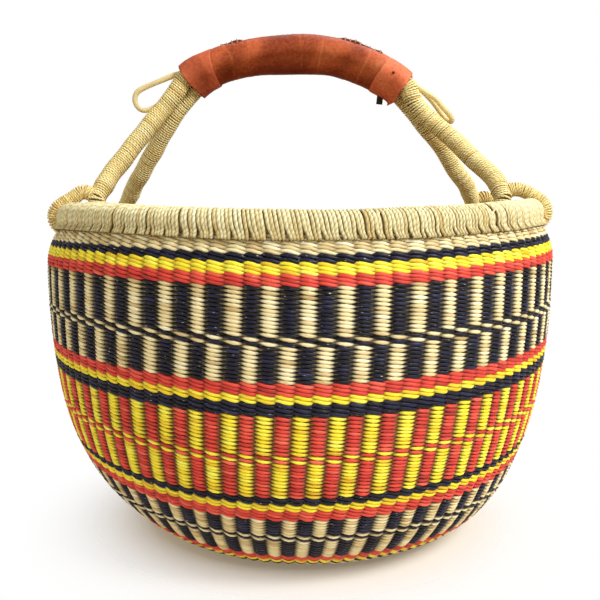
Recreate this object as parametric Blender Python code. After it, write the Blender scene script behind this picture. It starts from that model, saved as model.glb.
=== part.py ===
"""Bolga basket: a woven bowl in bands of coloured straw, a wrapped rim roll, and a handle of
two wrapped arches that share one leather grip.

Run with: blender --background --python part.py
Metres, +Z up. The front faces -Y and the flat base stands on z = 0.
"""

import math

import bmesh
import bpy
from mathutils import Vector

# Clearance between pieces that touch
GAP = 0.0003

# Outer curve of the bowl, from the flat base over the belly to the rim
BELLY_RADIUS = 0.2020
BELLY_LEVEL = 0.2054
BASE_CURVE_CUT = 0.0018
BOWL_CURVE_DEPTH = BELLY_LEVEL + BASE_CURVE_CUT
BOWL_DEPTH_POWER = 2.182
BOWL_RADIUS_POWER = 5.964
THROAT_PULL = 0.0143
WALL = 0.0050
START_DISC_RADIUS = 0.0220

# Stakes that the wall is woven round. The weave swells over each and sinks between two
STAKES = 112
FURROW_DEPTH = 0.0015

# The rim stands higher at the left and right, where the handle pulls it up
SADDLE_RISE = 0.0110
SADDLE_FADE_LEVEL = 0.0600

# Rim roll: a bundle of stake ends inside a wrapping that grips the top of the wall
RIM_LEVEL = 0.2410
RIM_INSET = 0.0068
RIM_ROLL_RADIUS = 0.0096
RIM_CORE_RADIUS = 0.0045
WALL_TOP_DROP = 0.0045

# Handle: two arches side by side in the grip and apart at the rim
HANDLE_FOOT_INSET = 0.0243
HANDLE_FOOT_HEIGHT = 0.0195
HANDLE_RISE = 0.1200
BUNDLE_LIFT = 0.0062
FOOT_SPREAD = 0.0500
LEG_RADIUS = 0.0075
ARCH_CORE_RADIUS = 0.0050
OUTER_FOOT_RADIUS = 0.0040
FOOT_BRANCH = 0.0060
INNER_FOOT_DROP = 0.0330
INNER_FOOT_LEAD = 0.0100

# Turns of cord that bind each leg just above the rim
BINDING_CORD = 0.0018
BINDING_SPACE = 0.0005
BINDING_TURNS = 4

# Leather grip, its collars, and the loops of wrapped straw that stand out at its ends
GRIP_FROM_LEFT_FOOT = 0.1180
GRIP_LENGTH = 0.1880
LEATHER = 0.0018
SEAM_SLIT = 0.0010
COLLAR_LENGTH = 0.0240
COLLAR_LEATHER = 0.0014
TAIL_CORD_RADIUS = 0.0021
TAIL_REACH = 0.0500
TAIL_RISE = 0.0090
TAIL_LEAD = 0.0060

# Facets
RING_STEPS = 36
ROLL_ARC_STEPS = 9
CORE_SECTION_STEPS = 6
PROFILE_SAMPLES = 800
ROUTE_SAMPLES = 60
ARCH_STEPS = 30
LEG_END_STEPS = 2
GRIP_STEPS = 13
GRIP_ARC_STEPS = 5
COLLAR_STEPS = 2
FOOT_ARC_STEPS = 7
TURN_POINTS = 18

# Middle line of the handle, left foot to right foot: across as a share of half its width, up as a
# share of the rise, then how far each arch is lifted and spread from that line, as shares of
# BUNDLE_LIFT and FOOT_SPREAD
HANDLE_ROUTE_SHARES = (
    (-0.979, 0.000, 0.10, 1.000),
    (-0.924, 0.133, 0.45, 0.720),
    (-0.867, 0.248, 0.60, 0.520),
    (-0.721, 0.523, 0.75, 0.200),
    (-0.636, 0.660, 0.80, 0.135),
    (-0.544, 0.795, 1.00, 0.100),
    (-0.329, 0.959, 1.00, 0.100),
    (-0.050, 1.000, 1.00, 0.100),
    (0.250, 0.960, 0.90, 0.120),
    (0.381, 0.888, 0.70, 0.135),
    (0.514, 0.738, 0.50, 0.148),
    (0.658, 0.537, 0.35, 0.175),
    (0.766, 0.400, 0.30, 0.300),
    (0.857, 0.257, 0.40, 0.500),
    (0.951, 0.122, 0.32, 0.760),
    (1.000, 0.012, 0.10, 1.000),
)

# Loops at the grip's ends: along the handle as a share of TAIL_REACH, above the start as a share
# of TAIL_RISE, and across from the front arch to the back arch as a share of their distance
LEFT_TAIL_SHARES = ((0.25, 0.15, 0.0), (0.80, 1.0, 0.0), (0.96, 0.85, 0.0), (1.0, 0.25, 0.0))
LEFT_TAIL_END_SHARE = 0.76
RIGHT_TAIL_SHARES = ((0.30, 0.15, 0.02), (0.75, 0.35, 0.25), (0.95, 0.40, 0.5), (0.75, 0.35, 0.75),
                     (0.30, 0.20, 0.98))

# Woven bands from the foot to the rim: name, rows of weave, straw colour, steps up the wall
BANDS = (
    ("natural_foot_band", 17, "natural", 4),
    ("navy_foot_band", 2, "navy", 1),
    ("yellow_foot_band", 2, "yellow", 1),
    ("red_foot_band", 3, "red", 1),
    ("lower_check_band", 16, "navy_check", 3),
    ("red_lower_band", 3, "red", 1),
    ("yellow_lower_band", 2, "yellow", 1),
    ("navy_lower_band", 2, "navy", 1),
    ("middle_check_band", 22, "red_check", 2),
    ("navy_middle_band", 3, "navy", 1),
    ("yellow_middle_band", 2, "yellow", 1),
    ("red_middle_band", 3, "red", 1),
    ("upper_check_band", 23, "navy_check", 2),
    ("red_upper_band", 3, "red", 1),
    ("yellow_upper_band", 3, "yellow", 1),
    ("navy_upper_band", 2, "navy", 1),
    ("natural_upper_band", 5, "natural", 1),
)

# Bands wide enough to show the ribs over their stakes: how far the stakes lean to the right at
# the band's foot and at its top, as shares of the space between two stakes
STAKE_LEANS = {"middle_check_band": (-0.20, 0.09), "upper_check_band": (0.26, 0.50)}

# Base colour and roughness of each material
FINISHES = {
    "natural": ((0.62, 0.50, 0.26), 0.70),
    "navy": ((0.010, 0.010, 0.055), 0.50),
    "yellow": ((0.85, 0.62, 0.02), 0.60),
    "red": ((0.68, 0.05, 0.035), 0.60),
    "navy_check": ((0.22, 0.19, 0.16), 0.60),
    "red_check": ((0.78, 0.30, 0.03), 0.60),
    "rim_cord": ((0.68, 0.58, 0.30), 0.65),
    "leg_cord": ((0.58, 0.45, 0.22), 0.65),
    "grass_core": ((0.50, 0.40, 0.22), 0.80),
    "leather": ((0.36, 0.075, 0.025), 0.50),
    "collar_leather": ((0.50, 0.10, 0.045), 0.50),
}


def bowl_radius(level):
    """Outer radius of the bowl at a level above its base, before the saddle lifts it."""
    if level > BELLY_LEVEL:
        climb = (level - BELLY_LEVEL) / (RIM_LEVEL - BELLY_LEVEL)
        return BELLY_RADIUS - THROAT_PULL * climb ** 2
    depth = (BELLY_LEVEL - level) / BOWL_CURVE_DEPTH
    return BELLY_RADIUS * (1.0 - depth ** BOWL_DEPTH_POWER) ** (1.0 / BOWL_RADIUS_POWER)


def bowl_curve():
    """Sample the outer curve from the base's edge to the top of the wall.

    Returns a list of (distance along the curve, radius, level).
    """
    top = RIM_LEVEL - WALL_TOP_DROP
    samples = []
    travelled = 0.0
    for index in range(PROFILE_SAMPLES + 1):
        level = top * (index / PROFILE_SAMPLES) ** 2
        radius = bowl_radius(level)
        if samples:
            travelled += math.hypot(radius - samples[-1][1], level - samples[-1][2])
        samples.append((travelled, radius, level))
    return samples


BOWL_CURVE = bowl_curve()
ROW_PITCH = BOWL_CURVE[-1][0] / sum(rows for _, rows, _, _ in BANDS)


def wall_pair(distance):
    """Outer and inner wall points, as (radius, level), at a distance along the outer curve."""
    last = len(BOWL_CURVE) - 2
    index = next((i for i in range(last) if BOWL_CURVE[i + 1][0] >= distance), last)
    start, r_start, z_start = BOWL_CURVE[index]
    end, r_end, z_end = BOWL_CURVE[index + 1]
    share = (distance - start) / (end - start)
    outer = Vector((r_start + share * (r_end - r_start), z_start + share * (z_end - z_start)))
    along = Vector((r_end - r_start, z_end - z_start)).normalized()
    inward = Vector((-along.y, along.x))
    return outer, outer + inward * WALL


def saddle_lift(point):
    """How far the saddle lifts a point of the bowl: most at left and right, none at the base."""
    fade = min(point.z / SADDLE_FADE_LEVEL, 1.0)
    flat = point.x ** 2 + point.y ** 2
    return SADDLE_RISE * max(fade, 0.0) * point.x ** 2 / flat


def make_material(name):
    """One Principled material from the table of finishes."""
    colour, roughness = FINISHES[name]
    material = bpy.data.materials.new(name)
    material.use_nodes = True
    shader = material.node_tree.nodes["Principled BSDF"]
    shader.inputs["Base Color"].default_value = (*colour, 1.0)
    shader.inputs["Roughness"].default_value = roughness
    shader.inputs["Metallic"].default_value = 0.0
    material.diffuse_color = (*colour, 1.0)
    return material


def add_object(name, data, material, parent):
    """Link one sub-part with its material under the part's empty."""
    piece = bpy.data.objects.new(name, data)
    bpy.context.scene.collection.objects.link(piece)
    piece.data.materials.append(material)
    piece.parent = parent
    return piece


def mesh_from(name, mesh_builder, smooth):
    """Close a bmesh into a mesh with outward faces."""
    bmesh.ops.recalc_face_normals(mesh_builder, faces=mesh_builder.faces)
    for face in mesh_builder.faces:
        face.smooth = smooth
    mesh = bpy.data.meshes.new(name)
    mesh_builder.to_mesh(mesh)
    mesh_builder.free()
    return mesh


def spun_ring(name, section, material, parent):
    """Spin a closed (radius, level) section round the basket, then lift it with the saddle."""
    builder = bmesh.new()
    verts = [builder.verts.new((radius, 0.0, level)) for radius, level in section]
    edges = [builder.edges.new(pair) for pair in zip(verts, verts[1:] + verts[:1])]
    bmesh.ops.spin(builder, geom=verts + edges, cent=(0, 0, 0), axis=(0, 0, 1),
                   angle=math.tau, steps=RING_STEPS, use_merge=True)
    for vert in builder.verts:
        vert.co.z += saddle_lift(vert.co)
    return add_object(name, mesh_from(name, builder, True), material, parent)


def ring_corner(point, step):
    """Corner of a spun ring: its (radius, level) point after some steps round, lifted."""
    turn = math.tau * step / RING_STEPS
    corner = Vector((point.x * math.cos(turn), point.x * math.sin(turn), point.y))
    corner.z += saddle_lift(corner)
    return corner


def on_flat(point, step):
    """Point on the flat between two corners of a spun ring, a fraction of a step along it."""
    corner = math.floor(step)
    return ring_corner(point, corner).lerp(ring_corner(point, corner + 1), step - corner)


def stake_step(half_stake, lean):
    """Steps round to a crest or a furrow, counted in half stakes from the front."""
    return RING_STEPS * ((half_stake / 2 + lean) / STAKES - 1 / 4)


def ribbed_ring(name, pairs, leans, material, parent):
    """A ring of wall that swells over each stake.

    Its outside has a crest at each stake and a furrow between two, both on the plain rings'
    flats or square to them, so that its ends stay even with the rings above and below.
    """
    builder = bmesh.new()
    outsides, insides = [], []
    for outer, inner in pairs:
        lean = leans[0] + (leans[1] - leans[0]) * len(outsides) / (len(pairs) - 1)
        outside = []
        for half_stake in range(2 * STAKES):
            step = stake_step(half_stake, lean)
            crest = on_flat(outer, step)
            inward = (on_flat(inner, step) - crest).normalized()
            outside.append(builder.verts.new(crest + inward * FURROW_DEPTH * (half_stake % 2)))
        outsides.append(outside)
        insides.append([builder.verts.new(ring_corner(inner, i)) for i in range(RING_STEPS)])
    for sides in (outsides, insides):
        for low, high in zip(sides, sides[1:]):
            for i in range(len(low)):
                j = (i + 1) % len(low)
                builder.faces.new((low[i], low[j], high[j], high[i]))
    for outside, inside, lean in ((outsides[0], insides[0], leans[0]),
                                  (outsides[-1], insides[-1], leans[1])):
        for i in range(RING_STEPS):
            first, last = (round(2 * ((step / RING_STEPS + 1 / 4) * STAKES - lean))
                           for step in (i, i + 1))
            edge = [outside[k % len(outside)] for k in range(first, last + 1)]
            builder.faces.new(edge + [inside[(i + 1) % RING_STEPS], inside[i]])
    return add_object(name, mesh_from(name, builder, False), material, parent)


def lofted(name, rings, material, parent):
    """Join equal closed rings of points into one capped solid."""
    builder = bmesh.new()
    loops = [[builder.verts.new(point) for point in ring] for ring in rings]
    count = len(loops[0])
    for low, high in zip(loops, loops[1:]):
        for i in range(count):
            j = (i + 1) % count
            builder.faces.new((low[i], low[j], high[j], high[i]))
    builder.faces.new(loops[0])
    builder.faces.new(loops[-1])
    return add_object(name, mesh_from(name, builder, False), material, parent)


def cord(name, points, radius, resolution, material, parent, capped=True):
    """A round cord through the points, as a poly curve with a bevel."""
    curve = bpy.data.curves.new(name, "CURVE")
    curve.dimensions = "3D"
    curve.bevel_depth = radius
    curve.bevel_resolution = resolution
    curve.use_fill_caps = capped
    spline = curve.splines.new("POLY")
    spline.points.add(len(points) - 1)
    for target, point in zip(spline.points, points):
        target.co = (*point, 1.0)
    spline.use_smooth = True
    return add_object(name, curve, material, parent)


def smooth_route(controls, samples):
    """Catmull-Rom curve through control vectors, sampled evenly between each pair."""
    first = controls[0] * 2 - controls[1]
    last = controls[-1] * 2 - controls[-2]
    padded = [first, *controls, last]
    points = []
    for a, b, c, d in zip(padded, padded[1:], padded[2:], padded[3:]):
        for step in range(samples):
            t = step / samples
            points.append(0.5 * (2 * b + (c - a) * t + (2 * a - 5 * b + 4 * c - d) * t ** 2
                                 + (3 * b - a - 3 * c + d) * t ** 3))
    points.append(controls[-1])
    return points


class Route:
    """A sampled line of vectors that is read by distance from its start."""

    def __init__(self, points):
        self.points = points
        self.distances = [0.0]
        for start, end in zip(points, points[1:]):
            step = math.dist(tuple(start)[:2], tuple(end)[:2])
            self.distances.append(self.distances[-1] + step)
        self.length = self.distances[-1]

    def at(self, distance):
        """Value at a distance from the start."""
        last = len(self.points) - 2
        index = next((i for i in range(last) if self.distances[i + 1] >= distance), last)
        span = self.distances[index + 1] - self.distances[index]
        share = (distance - self.distances[index]) / span
        return self.points[index].lerp(self.points[index + 1], share)


def rim_radius():
    """Radius of the circle that the rim roll follows."""
    return BOWL_CURVE[-1][1] - RIM_INSET


def handle_route():
    """Middle line of the handle as (x, z, lift, spread), in metres."""
    half_width = rim_radius() - HANDLE_FOOT_INSET
    foot_level = RIM_LEVEL + HANDLE_FOOT_HEIGHT
    controls = [Vector((x * half_width, foot_level + up * HANDLE_RISE,
                        lift * BUNDLE_LIFT, spread * FOOT_SPREAD))
                for x, up, lift, spread in HANDLE_ROUTE_SHARES]
    return Route(smooth_route(controls, ROUTE_SAMPLES))


HANDLE = handle_route()
HANDLE_STEP = HANDLE.length / (ROUTE_SAMPLES * len(HANDLE_ROUTE_SHARES))
GRIP_SPAN = (GRIP_FROM_LEFT_FOOT, GRIP_FROM_LEFT_FOOT + GRIP_LENGTH)


def handle_frame(distance):
    """Centre, direction and outward normal of the handle's middle line."""
    here = HANDLE.at(distance)
    ahead = HANDLE.at(distance + HANDLE_STEP)
    behind = HANDLE.at(distance - HANDLE_STEP)
    direction = Vector((ahead.x - behind.x, 0.0, ahead.y - behind.y)).normalized()
    outward = Vector((-direction.z, 0.0, direction.x))
    return Vector((here.x, 0.0, here.y)), direction, outward


def arch_point(distance, side):
    """Middle of the front (side -1) or back (side +1) bundle at a distance along the handle."""
    centre, _, outward = handle_frame(distance)
    here = HANDLE.at(distance)
    return centre - side * here.z * outward + Vector((0.0, side * here.w, 0.0))


def radial_parts(point):
    """Split a point into its distance from the basket's axis and its outward direction."""
    flat = Vector((point.x, point.y, 0.0))
    return flat.length, flat.normalized()


def rim_centre(direction):
    """Centre of the rim roll in an outward direction, lifted by the saddle."""
    centre = direction * rim_radius() + Vector((0.0, 0.0, RIM_LEVEL))
    centre.z += saddle_lift(centre)
    return centre


def inner_foot(start):
    """Points that carry an arch's core from its foot down inside the rim to the wall."""
    reach, direction = radial_parts(start)
    lift = saddle_lift(Vector((start.x, start.y, SADDLE_FADE_LEVEL)))
    seat_level = start.z - INNER_FOOT_DROP - lift
    distance = next(d for d, _, level in BOWL_CURVE if level >= seat_level)
    outer, inner = wall_pair(distance)
    inward = (inner - outer).normalized()
    seat = inner + inward * (GAP + ARCH_CORE_RADIUS * abs(inward.y))
    lead = seat + inward * INNER_FOOT_LEAD
    drop = start.z - lift
    controls = [Vector((reach, drop)),
                Vector((reach, drop - INNER_FOOT_DROP * 0.35)),
                Vector((reach + (lead.x - reach) * 0.45, drop - INNER_FOOT_DROP * 0.75)),
                lead, seat]
    points = smooth_route(controls, 3)
    return [direction * p.x + Vector((0.0, 0.0, p.y + lift)) for p in points]


BINDING_PITCH = BINDING_CORD + BINDING_SPACE
BINDING_START = FOOT_BRANCH + OUTER_FOOT_RADIUS + GAP + BINDING_CORD / 2
BINDING_END = BINDING_START + BINDING_PITCH * BINDING_TURNS
WRAP_START = BINDING_END + BINDING_CORD / 2 + GAP


def leg_distance(distance, right):
    """Turn a distance up a leg into a distance along the handle."""
    return HANDLE.length - distance if right else distance


def make_arch(name, side, materials, parent):
    """One arch: its grass core with the inner feet, and the cord wrapped round it."""
    wrapped = HANDLE.length - 2 * WRAP_START
    leg = [arch_point(WRAP_START * i / LEG_END_STEPS, side) for i in range(LEG_END_STEPS)]
    points = [arch_point(WRAP_START + wrapped * i / ARCH_STEPS, side)
              for i in range(ARCH_STEPS + 1)]
    far_leg = [arch_point(HANDLE.length - WRAP_START * i / LEG_END_STEPS, side)
               for i in reversed(range(LEG_END_STEPS))]
    core = inner_foot(leg[0])[:0:-1] + leg + points + far_leg + inner_foot(far_leg[-1])[1:]
    cord(f"{name}_arch_core", core, ARCH_CORE_RADIUS, 1, materials["grass_core"], parent)
    wrap = cord(f"{name}_arch_wrap", points, LEG_RADIUS, 2, materials["leg_cord"], parent,
                capped=False)
    shell = wrap.modifiers.new("wrap_thickness", "SOLIDIFY")
    shell.thickness = LEG_RADIUS * math.cos(math.pi / 8) - ARCH_CORE_RADIUS - GAP
    shell.offset = -1.0
    shell.use_even_offset = True


def make_binding(name, side, right, materials, parent):
    """Turns of cord round one leg, as one unbroken tube."""
    radius = ARCH_CORE_RADIUS + GAP + BINDING_CORD / 2
    points = []
    for i in range(BINDING_TURNS * TURN_POINTS + 1):
        distance = BINDING_START + BINDING_PITCH * i / TURN_POINTS
        here = arch_point(leg_distance(distance, right), side)
        ahead = arch_point(leg_distance(distance + BINDING_PITCH, right), side)
        direction = (ahead - here).normalized()
        across = direction.cross(Vector((0.0, 1.0, 0.0))).normalized()
        away = across.cross(direction)
        angle = math.tau * i / TURN_POINTS
        points.append(here + radius * (math.cos(angle) * across + math.sin(angle) * away))
    least = min((points[i] - points[j]).length for i in range(len(points))
                for j in range(i + TURN_POINTS // 2, len(points))) - BINDING_CORD
    print(f"{name}: least gap to itself {least * 1000:.2f} mm")
    cord(name, points, BINDING_CORD / 2, 1, materials["leg_cord"], parent)


def make_outer_foot(name, side, right, materials, parent):
    """The bundle that leaves a leg, bends over the rim roll and stops above the wall."""
    leg = arch_point(leg_distance(FOOT_BRANCH, right), side)
    above = arch_point(leg_distance(FOOT_BRANCH + BINDING_PITCH, right), side)
    up_leg = (above - leg).normalized()
    _, radial = radial_parts(leg)
    out = (radial - up_leg * radial.dot(up_leg)).normalized()
    start = leg + out * (ARCH_CORE_RADIUS + GAP)
    turn_off = start + out * OUTER_FOOT_RADIUS

    reach, direction = radial_parts(turn_off)
    lift = rim_centre(direction).z - RIM_LEVEL
    bend = RIM_ROLL_RADIUS + GAP + OUTER_FOOT_RADIUS
    across, rise = reach - rim_radius(), turn_off.z - lift - RIM_LEVEL
    first = math.atan2(rise, across) - math.acos(bend / math.hypot(across, rise))
    last = first
    while last > -math.pi / 3 and wall_distance(last, bend) > OUTER_FOOT_RADIUS + 2 * GAP:
        last -= math.pi / 180
    points = [start, turn_off]
    for i in range(FOOT_ARC_STEPS + 1):
        turn = first + (last - first) * i / FOOT_ARC_STEPS
        radius = rim_radius() + bend * math.cos(turn)
        level = RIM_LEVEL + lift + bend * math.sin(turn)
        points.append(direction * radius + Vector((0.0, 0.0, level)))
    cord(name, points, OUTER_FOOT_RADIUS, 2, materials["leg_cord"], parent)


def wall_distance(turn, bend):
    """Distance to the wall from a point at an angle on the bend round the rim roll."""
    radius = rim_radius() + bend * math.cos(turn)
    level = RIM_LEVEL + bend * math.sin(turn)
    return min(math.hypot(radius - r, level - z) for _, r, z in BOWL_CURVE)


def grip_outline(distance, offset):
    """Outline round both bundles at a distance along the handle, open at the seam slit.

    offset is the distance from each bundle's middle. The slit is in the upper back side.
    """
    centre, _, outward = handle_frame(distance)
    back = Vector((0.0, 1.0, 0.0))
    front_bundle = arch_point(distance, -1)
    back_bundle = arch_point(distance, 1)
    axis = (front_bundle - back_bundle).normalized()
    up = (outward * axis.dot(-back) + back * axis.dot(outward)).normalized()
    outer = offset / math.cos(math.pi / (2 * GRIP_ARC_STEPS))
    points = [centre + up * outer + axis * SEAM_SLIT / 2]
    for bundle, sign in ((front_bundle, 1.0), (back_bundle, -1.0)):
        for i in range(GRIP_ARC_STEPS + 1):
            angle = math.pi * i / GRIP_ARC_STEPS
            points.append(bundle + sign * outer * (up * math.cos(angle) + axis * math.sin(angle)))
    points.append(centre + up * outer - axis * SEAM_SLIT / 2)
    return points


def leather_sleeve(name, span, inner, thickness, steps, material, parent):
    """A leather sleeve round both bundles, with its seam slit along the upper back."""
    rings = []
    for i in range(steps + 1):
        distance = span[0] + (span[1] - span[0]) * i / steps
        outline = grip_outline(distance, inner + thickness)
        rings.append(outline + grip_outline(distance, inner)[::-1])
    return lofted(name, rings, material, parent)


def tail_start(right, side):
    """Where a loop leaves the leather: on top of a bundle at the grip's end, and its frame."""
    away = 1.0 if right else -1.0
    distance = GRIP_SPAN[1] + GAP if right else GRIP_SPAN[0] - GAP
    _, direction, outward = handle_frame(distance)
    seat = LEG_RADIUS + GAP + TAIL_CORD_RADIUS
    return arch_point(distance, side) + outward * seat, direction * away, outward


def make_left_tail(materials, parent):
    """The left loop: out from the grip, round, and back to the front leg below."""
    start, away, outward = tail_start(False, -1)
    controls = [start]
    for along, rise, _ in LEFT_TAIL_SHARES:
        controls.append(start + away * along * TAIL_REACH + outward * rise * TAIL_RISE)
    landing = GRIP_SPAN[0] - LEFT_TAIL_END_SHARE * TAIL_REACH
    _, _, leg_outward = handle_frame(landing)
    seat = arch_point(landing, -1) + leg_outward * (LEG_RADIUS + 2 * GAP)
    controls += [seat + leg_outward * TAIL_LEAD / 2, seat]
    cord("left_tail_loop", smooth_route(controls, 4), TAIL_CORD_RADIUS, 2,
         materials["leg_cord"], parent)


def make_right_tail(materials, parent):
    """The right loop: out from the front arch's side of the grip and back to its other side."""
    start, away, outward = tail_start(True, -1)
    end, _, _ = tail_start(True, 1)
    controls = [start]
    for along, rise, across in RIGHT_TAIL_SHARES:
        foot = start.lerp(end, across)
        controls.append(foot + away * along * TAIL_REACH + outward * rise * TAIL_RISE)
    controls.append(end)
    cord("right_tail_loop", smooth_route(controls, 4), TAIL_CORD_RADIUS, 2,
         materials["leg_cord"], parent)


def make_base(materials, parent):
    """The flat base: the disc where the weave starts and the weave round it."""
    low_edge, high_edge = base_joint()
    spun_ring("base_weave",
              [(START_DISC_RADIUS + GAP, 0.0), (low_edge.x - GAP, 0.0), (high_edge.x - GAP, WALL),
               (START_DISC_RADIUS + GAP, WALL)], materials["natural"], parent)
    builder = bmesh.new()
    bmesh.ops.create_cone(builder, cap_ends=True, segments=RING_STEPS, depth=WALL,
                          radius1=START_DISC_RADIUS, radius2=START_DISC_RADIUS)
    start = add_object("base_start_disc", mesh_from("base_start_disc", builder, False),
                       materials["natural"], parent)
    start.location.z = WALL / 2


def make_bands(materials, parent):
    """The wall, one ring for each band of colour, seated one on the other."""
    start = 0.0
    for name, rows, colour, steps in BANDS:
        end = start + rows * ROW_PITCH
        low, high = start + GAP / 2, end - GAP / 2
        pairs = [wall_pair(low + (high - low) * i / steps) for i in range(steps + 1)]
        if start == 0.0:
            pairs[0] = base_joint()
        if name in STAKE_LEANS:
            ribbed_ring(name, pairs, STAKE_LEANS[name], materials[colour], parent)
        else:
            section = [outer for outer, _ in pairs] + [inner for _, inner in reversed(pairs)]
            spun_ring(name, section, materials[colour], parent)
        start = end


def base_joint():
    """Wall pair at the base's edge, mitred so that the first band seats on the base."""
    outer, inner = wall_pair(0.0)
    turn = math.atan2(outer.x - inner.x, inner.y - outer.y)
    return outer, outer + Vector((-WALL * math.tan(turn / 2), WALL))


def make_rim(materials, parent):
    """The rim: a bundle of stake ends, and the wrapping that grips it and the wall's top."""
    radius = rim_radius()
    core = [(radius + RIM_CORE_RADIUS * math.cos(math.tau * i / CORE_SECTION_STEPS),
             RIM_LEVEL + RIM_CORE_RADIUS * math.sin(math.tau * i / CORE_SECTION_STEPS))
            for i in range(CORE_SECTION_STEPS)]
    spun_ring("rim_core", core, materials["grass_core"], parent)

    outer, inner = wall_pair(BOWL_CURVE[-1][0])
    centre = Vector((radius, RIM_LEVEL))
    lip = 2 * GAP / (outer - centre).length
    first = math.atan2((outer - centre).y, (outer - centre).x) + lip
    last = math.atan2((inner - centre).y, (inner - centre).x) - lip + math.tau
    step = (last - first) / ROLL_ARC_STEPS
    bore = (RIM_CORE_RADIUS + GAP) / math.cos(step / 2)
    angles = [first + step * i for i in range(ROLL_ARC_STEPS + 1)]
    section = [centre + RIM_ROLL_RADIUS * Vector((math.cos(a), math.sin(a))) for a in angles]
    section += [centre + bore * Vector((math.cos(a), math.sin(a))) for a in reversed(angles)]
    spun_ring("rim_wrap", section, materials["rim_cord"], parent)


def make_grip(materials, parent):
    """The leather grip round both arches, and a collar over each of its ends."""
    bore = LEG_RADIUS + GAP
    leather_sleeve("leather_grip", GRIP_SPAN, bore, LEATHER, GRIP_STEPS,
                   materials["leather"], parent)
    over = (bore + LEATHER) / math.cos(math.pi / (2 * GRIP_ARC_STEPS)) + GAP
    left_span = (GRIP_SPAN[0], GRIP_SPAN[0] + COLLAR_LENGTH)
    right_span = (GRIP_SPAN[1] - COLLAR_LENGTH, GRIP_SPAN[1])
    for name, span in (("left_collar", left_span), ("right_collar", right_span)):
        leather_sleeve(name, span, over, COLLAR_LEATHER, COLLAR_STEPS,
                       materials["collar_leather"], parent)


def build():
    """Clear the scene and build every sub-part of the basket."""
    for item in list(bpy.data.objects):
        bpy.data.objects.remove(item, do_unlink=True)
    materials = {name: make_material(name) for name in FINISHES}
    root = bpy.data.objects.new("bolga_basket", None)
    bpy.context.scene.collection.objects.link(root)

    make_base(materials, root)
    make_bands(materials, root)
    make_rim(materials, root)
    for name, side in (("front", -1), ("back", 1)):
        make_arch(name, side, materials, root)
        for hand, right in (("left", False), ("right", True)):
            make_binding(f"{name}_{hand}_binding", side, right, materials, root)
            make_outer_foot(f"{name}_{hand}_outer_foot", side, right, materials, root)
    make_grip(materials, root)
    make_left_tail(materials, root)
    make_right_tail(materials, root)


build()
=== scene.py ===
"""The looks of a bolga basket: woven straw bands, a wrapped rim roll, and a handle of two
cord-wound arches that share a leather grip.

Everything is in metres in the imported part's own frame: the flat base stands on z = 0, the front
faces -Y and the handle spans along X.
"""

import logging
import math
from dataclasses import dataclass, replace
from enum import Enum, IntEnum
from functools import cached_property

import bpy
import numpy as np
from mathutils import Euler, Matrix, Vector


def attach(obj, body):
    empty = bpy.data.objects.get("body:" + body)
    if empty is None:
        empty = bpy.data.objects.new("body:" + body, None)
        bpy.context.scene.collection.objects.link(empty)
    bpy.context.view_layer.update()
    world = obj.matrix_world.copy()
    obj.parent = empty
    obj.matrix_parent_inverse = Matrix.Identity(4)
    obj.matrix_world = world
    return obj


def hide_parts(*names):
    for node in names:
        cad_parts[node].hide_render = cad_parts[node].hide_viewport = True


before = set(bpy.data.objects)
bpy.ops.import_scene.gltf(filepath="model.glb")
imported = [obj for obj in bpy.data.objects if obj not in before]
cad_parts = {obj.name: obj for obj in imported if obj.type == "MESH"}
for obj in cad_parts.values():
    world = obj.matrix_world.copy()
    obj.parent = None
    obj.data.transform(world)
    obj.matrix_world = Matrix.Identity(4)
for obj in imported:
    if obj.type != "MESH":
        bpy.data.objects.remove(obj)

Array = np.ndarray
Colour = tuple[float, float, float]
TAU = math.tau
log = logging.getLogger("bolga_basket")

# Length that a cord's lay counts once round it
CORD_GIRTH = 0.006
# The way from the basket's front to its back
BACKWARD = np.array([0.0, 1.0, 0.0])


# Shapes -------------------------------------------------------------------------------------


def unit(vectors: Array) -> Array:
    """Vectors divided by their lengths."""
    return vectors / np.linalg.norm(vectors, axis=-1, keepdims=True)


def ease(low: float, high: float, value: Array) -> Array:
    """0 below low, 1 above high, and 3t^2 - 2t^3 between, where t is the share of the way."""
    t = np.clip((value - low) / (high - low), 0.0, 1.0)
    return t * t * (3.0 - 2.0 * t)


def ring(count: int) -> Array:
    """Angles of `count` points spread evenly round a circle."""
    return np.arange(count) * TAU / count


def travelled(points: Array) -> Array:
    """Distance of each point of a line from its start."""
    steps = np.linalg.norm(np.diff(points, axis=0), axis=1)
    return np.concatenate([[0.0], np.cumsum(steps)])


def read(place: Array, known: Array, table: Array) -> Array:
    """Rows of a table read at places between the known ones, along straight lines."""
    return np.stack([np.interp(place, known, column) for column in table.T], -1)


def around_axis(radius: Array, turn: Array, level: Array) -> Array:
    """Points (r sin t, -r cos t, level): a radius r from the upright axis, a turn t from the
    front."""
    return np.stack([radius * np.sin(turn), -radius * np.cos(turn), level], -1)


def waves(seed: int, count: int, reach: float, *grids: Array) -> Array:
    """Smooth seeded unevenness: 1.4 / sqrt(count) times the sum of `count` sines, whose phases
    are random sums of the grids, each grid turned by up to `reach` radians a unit.

    Args:
        seed: seed of the random numbers.
        count: how many sines are summed.
        reach: largest rate of turn over a grid's unit.
        grids: arrays that broadcast together.
    Returns:
        An array whose root mean square is about 1.
    """
    chance = np.random.default_rng(seed)
    total = 0.0
    for _ in range(count):
        phase = chance.uniform(0.0, TAU)
        for grid in grids:
            phase = phase + grid * chance.uniform(-reach, reach)
        total = total + np.sin(phase)
    return total * 1.4 / math.sqrt(count)


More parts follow.
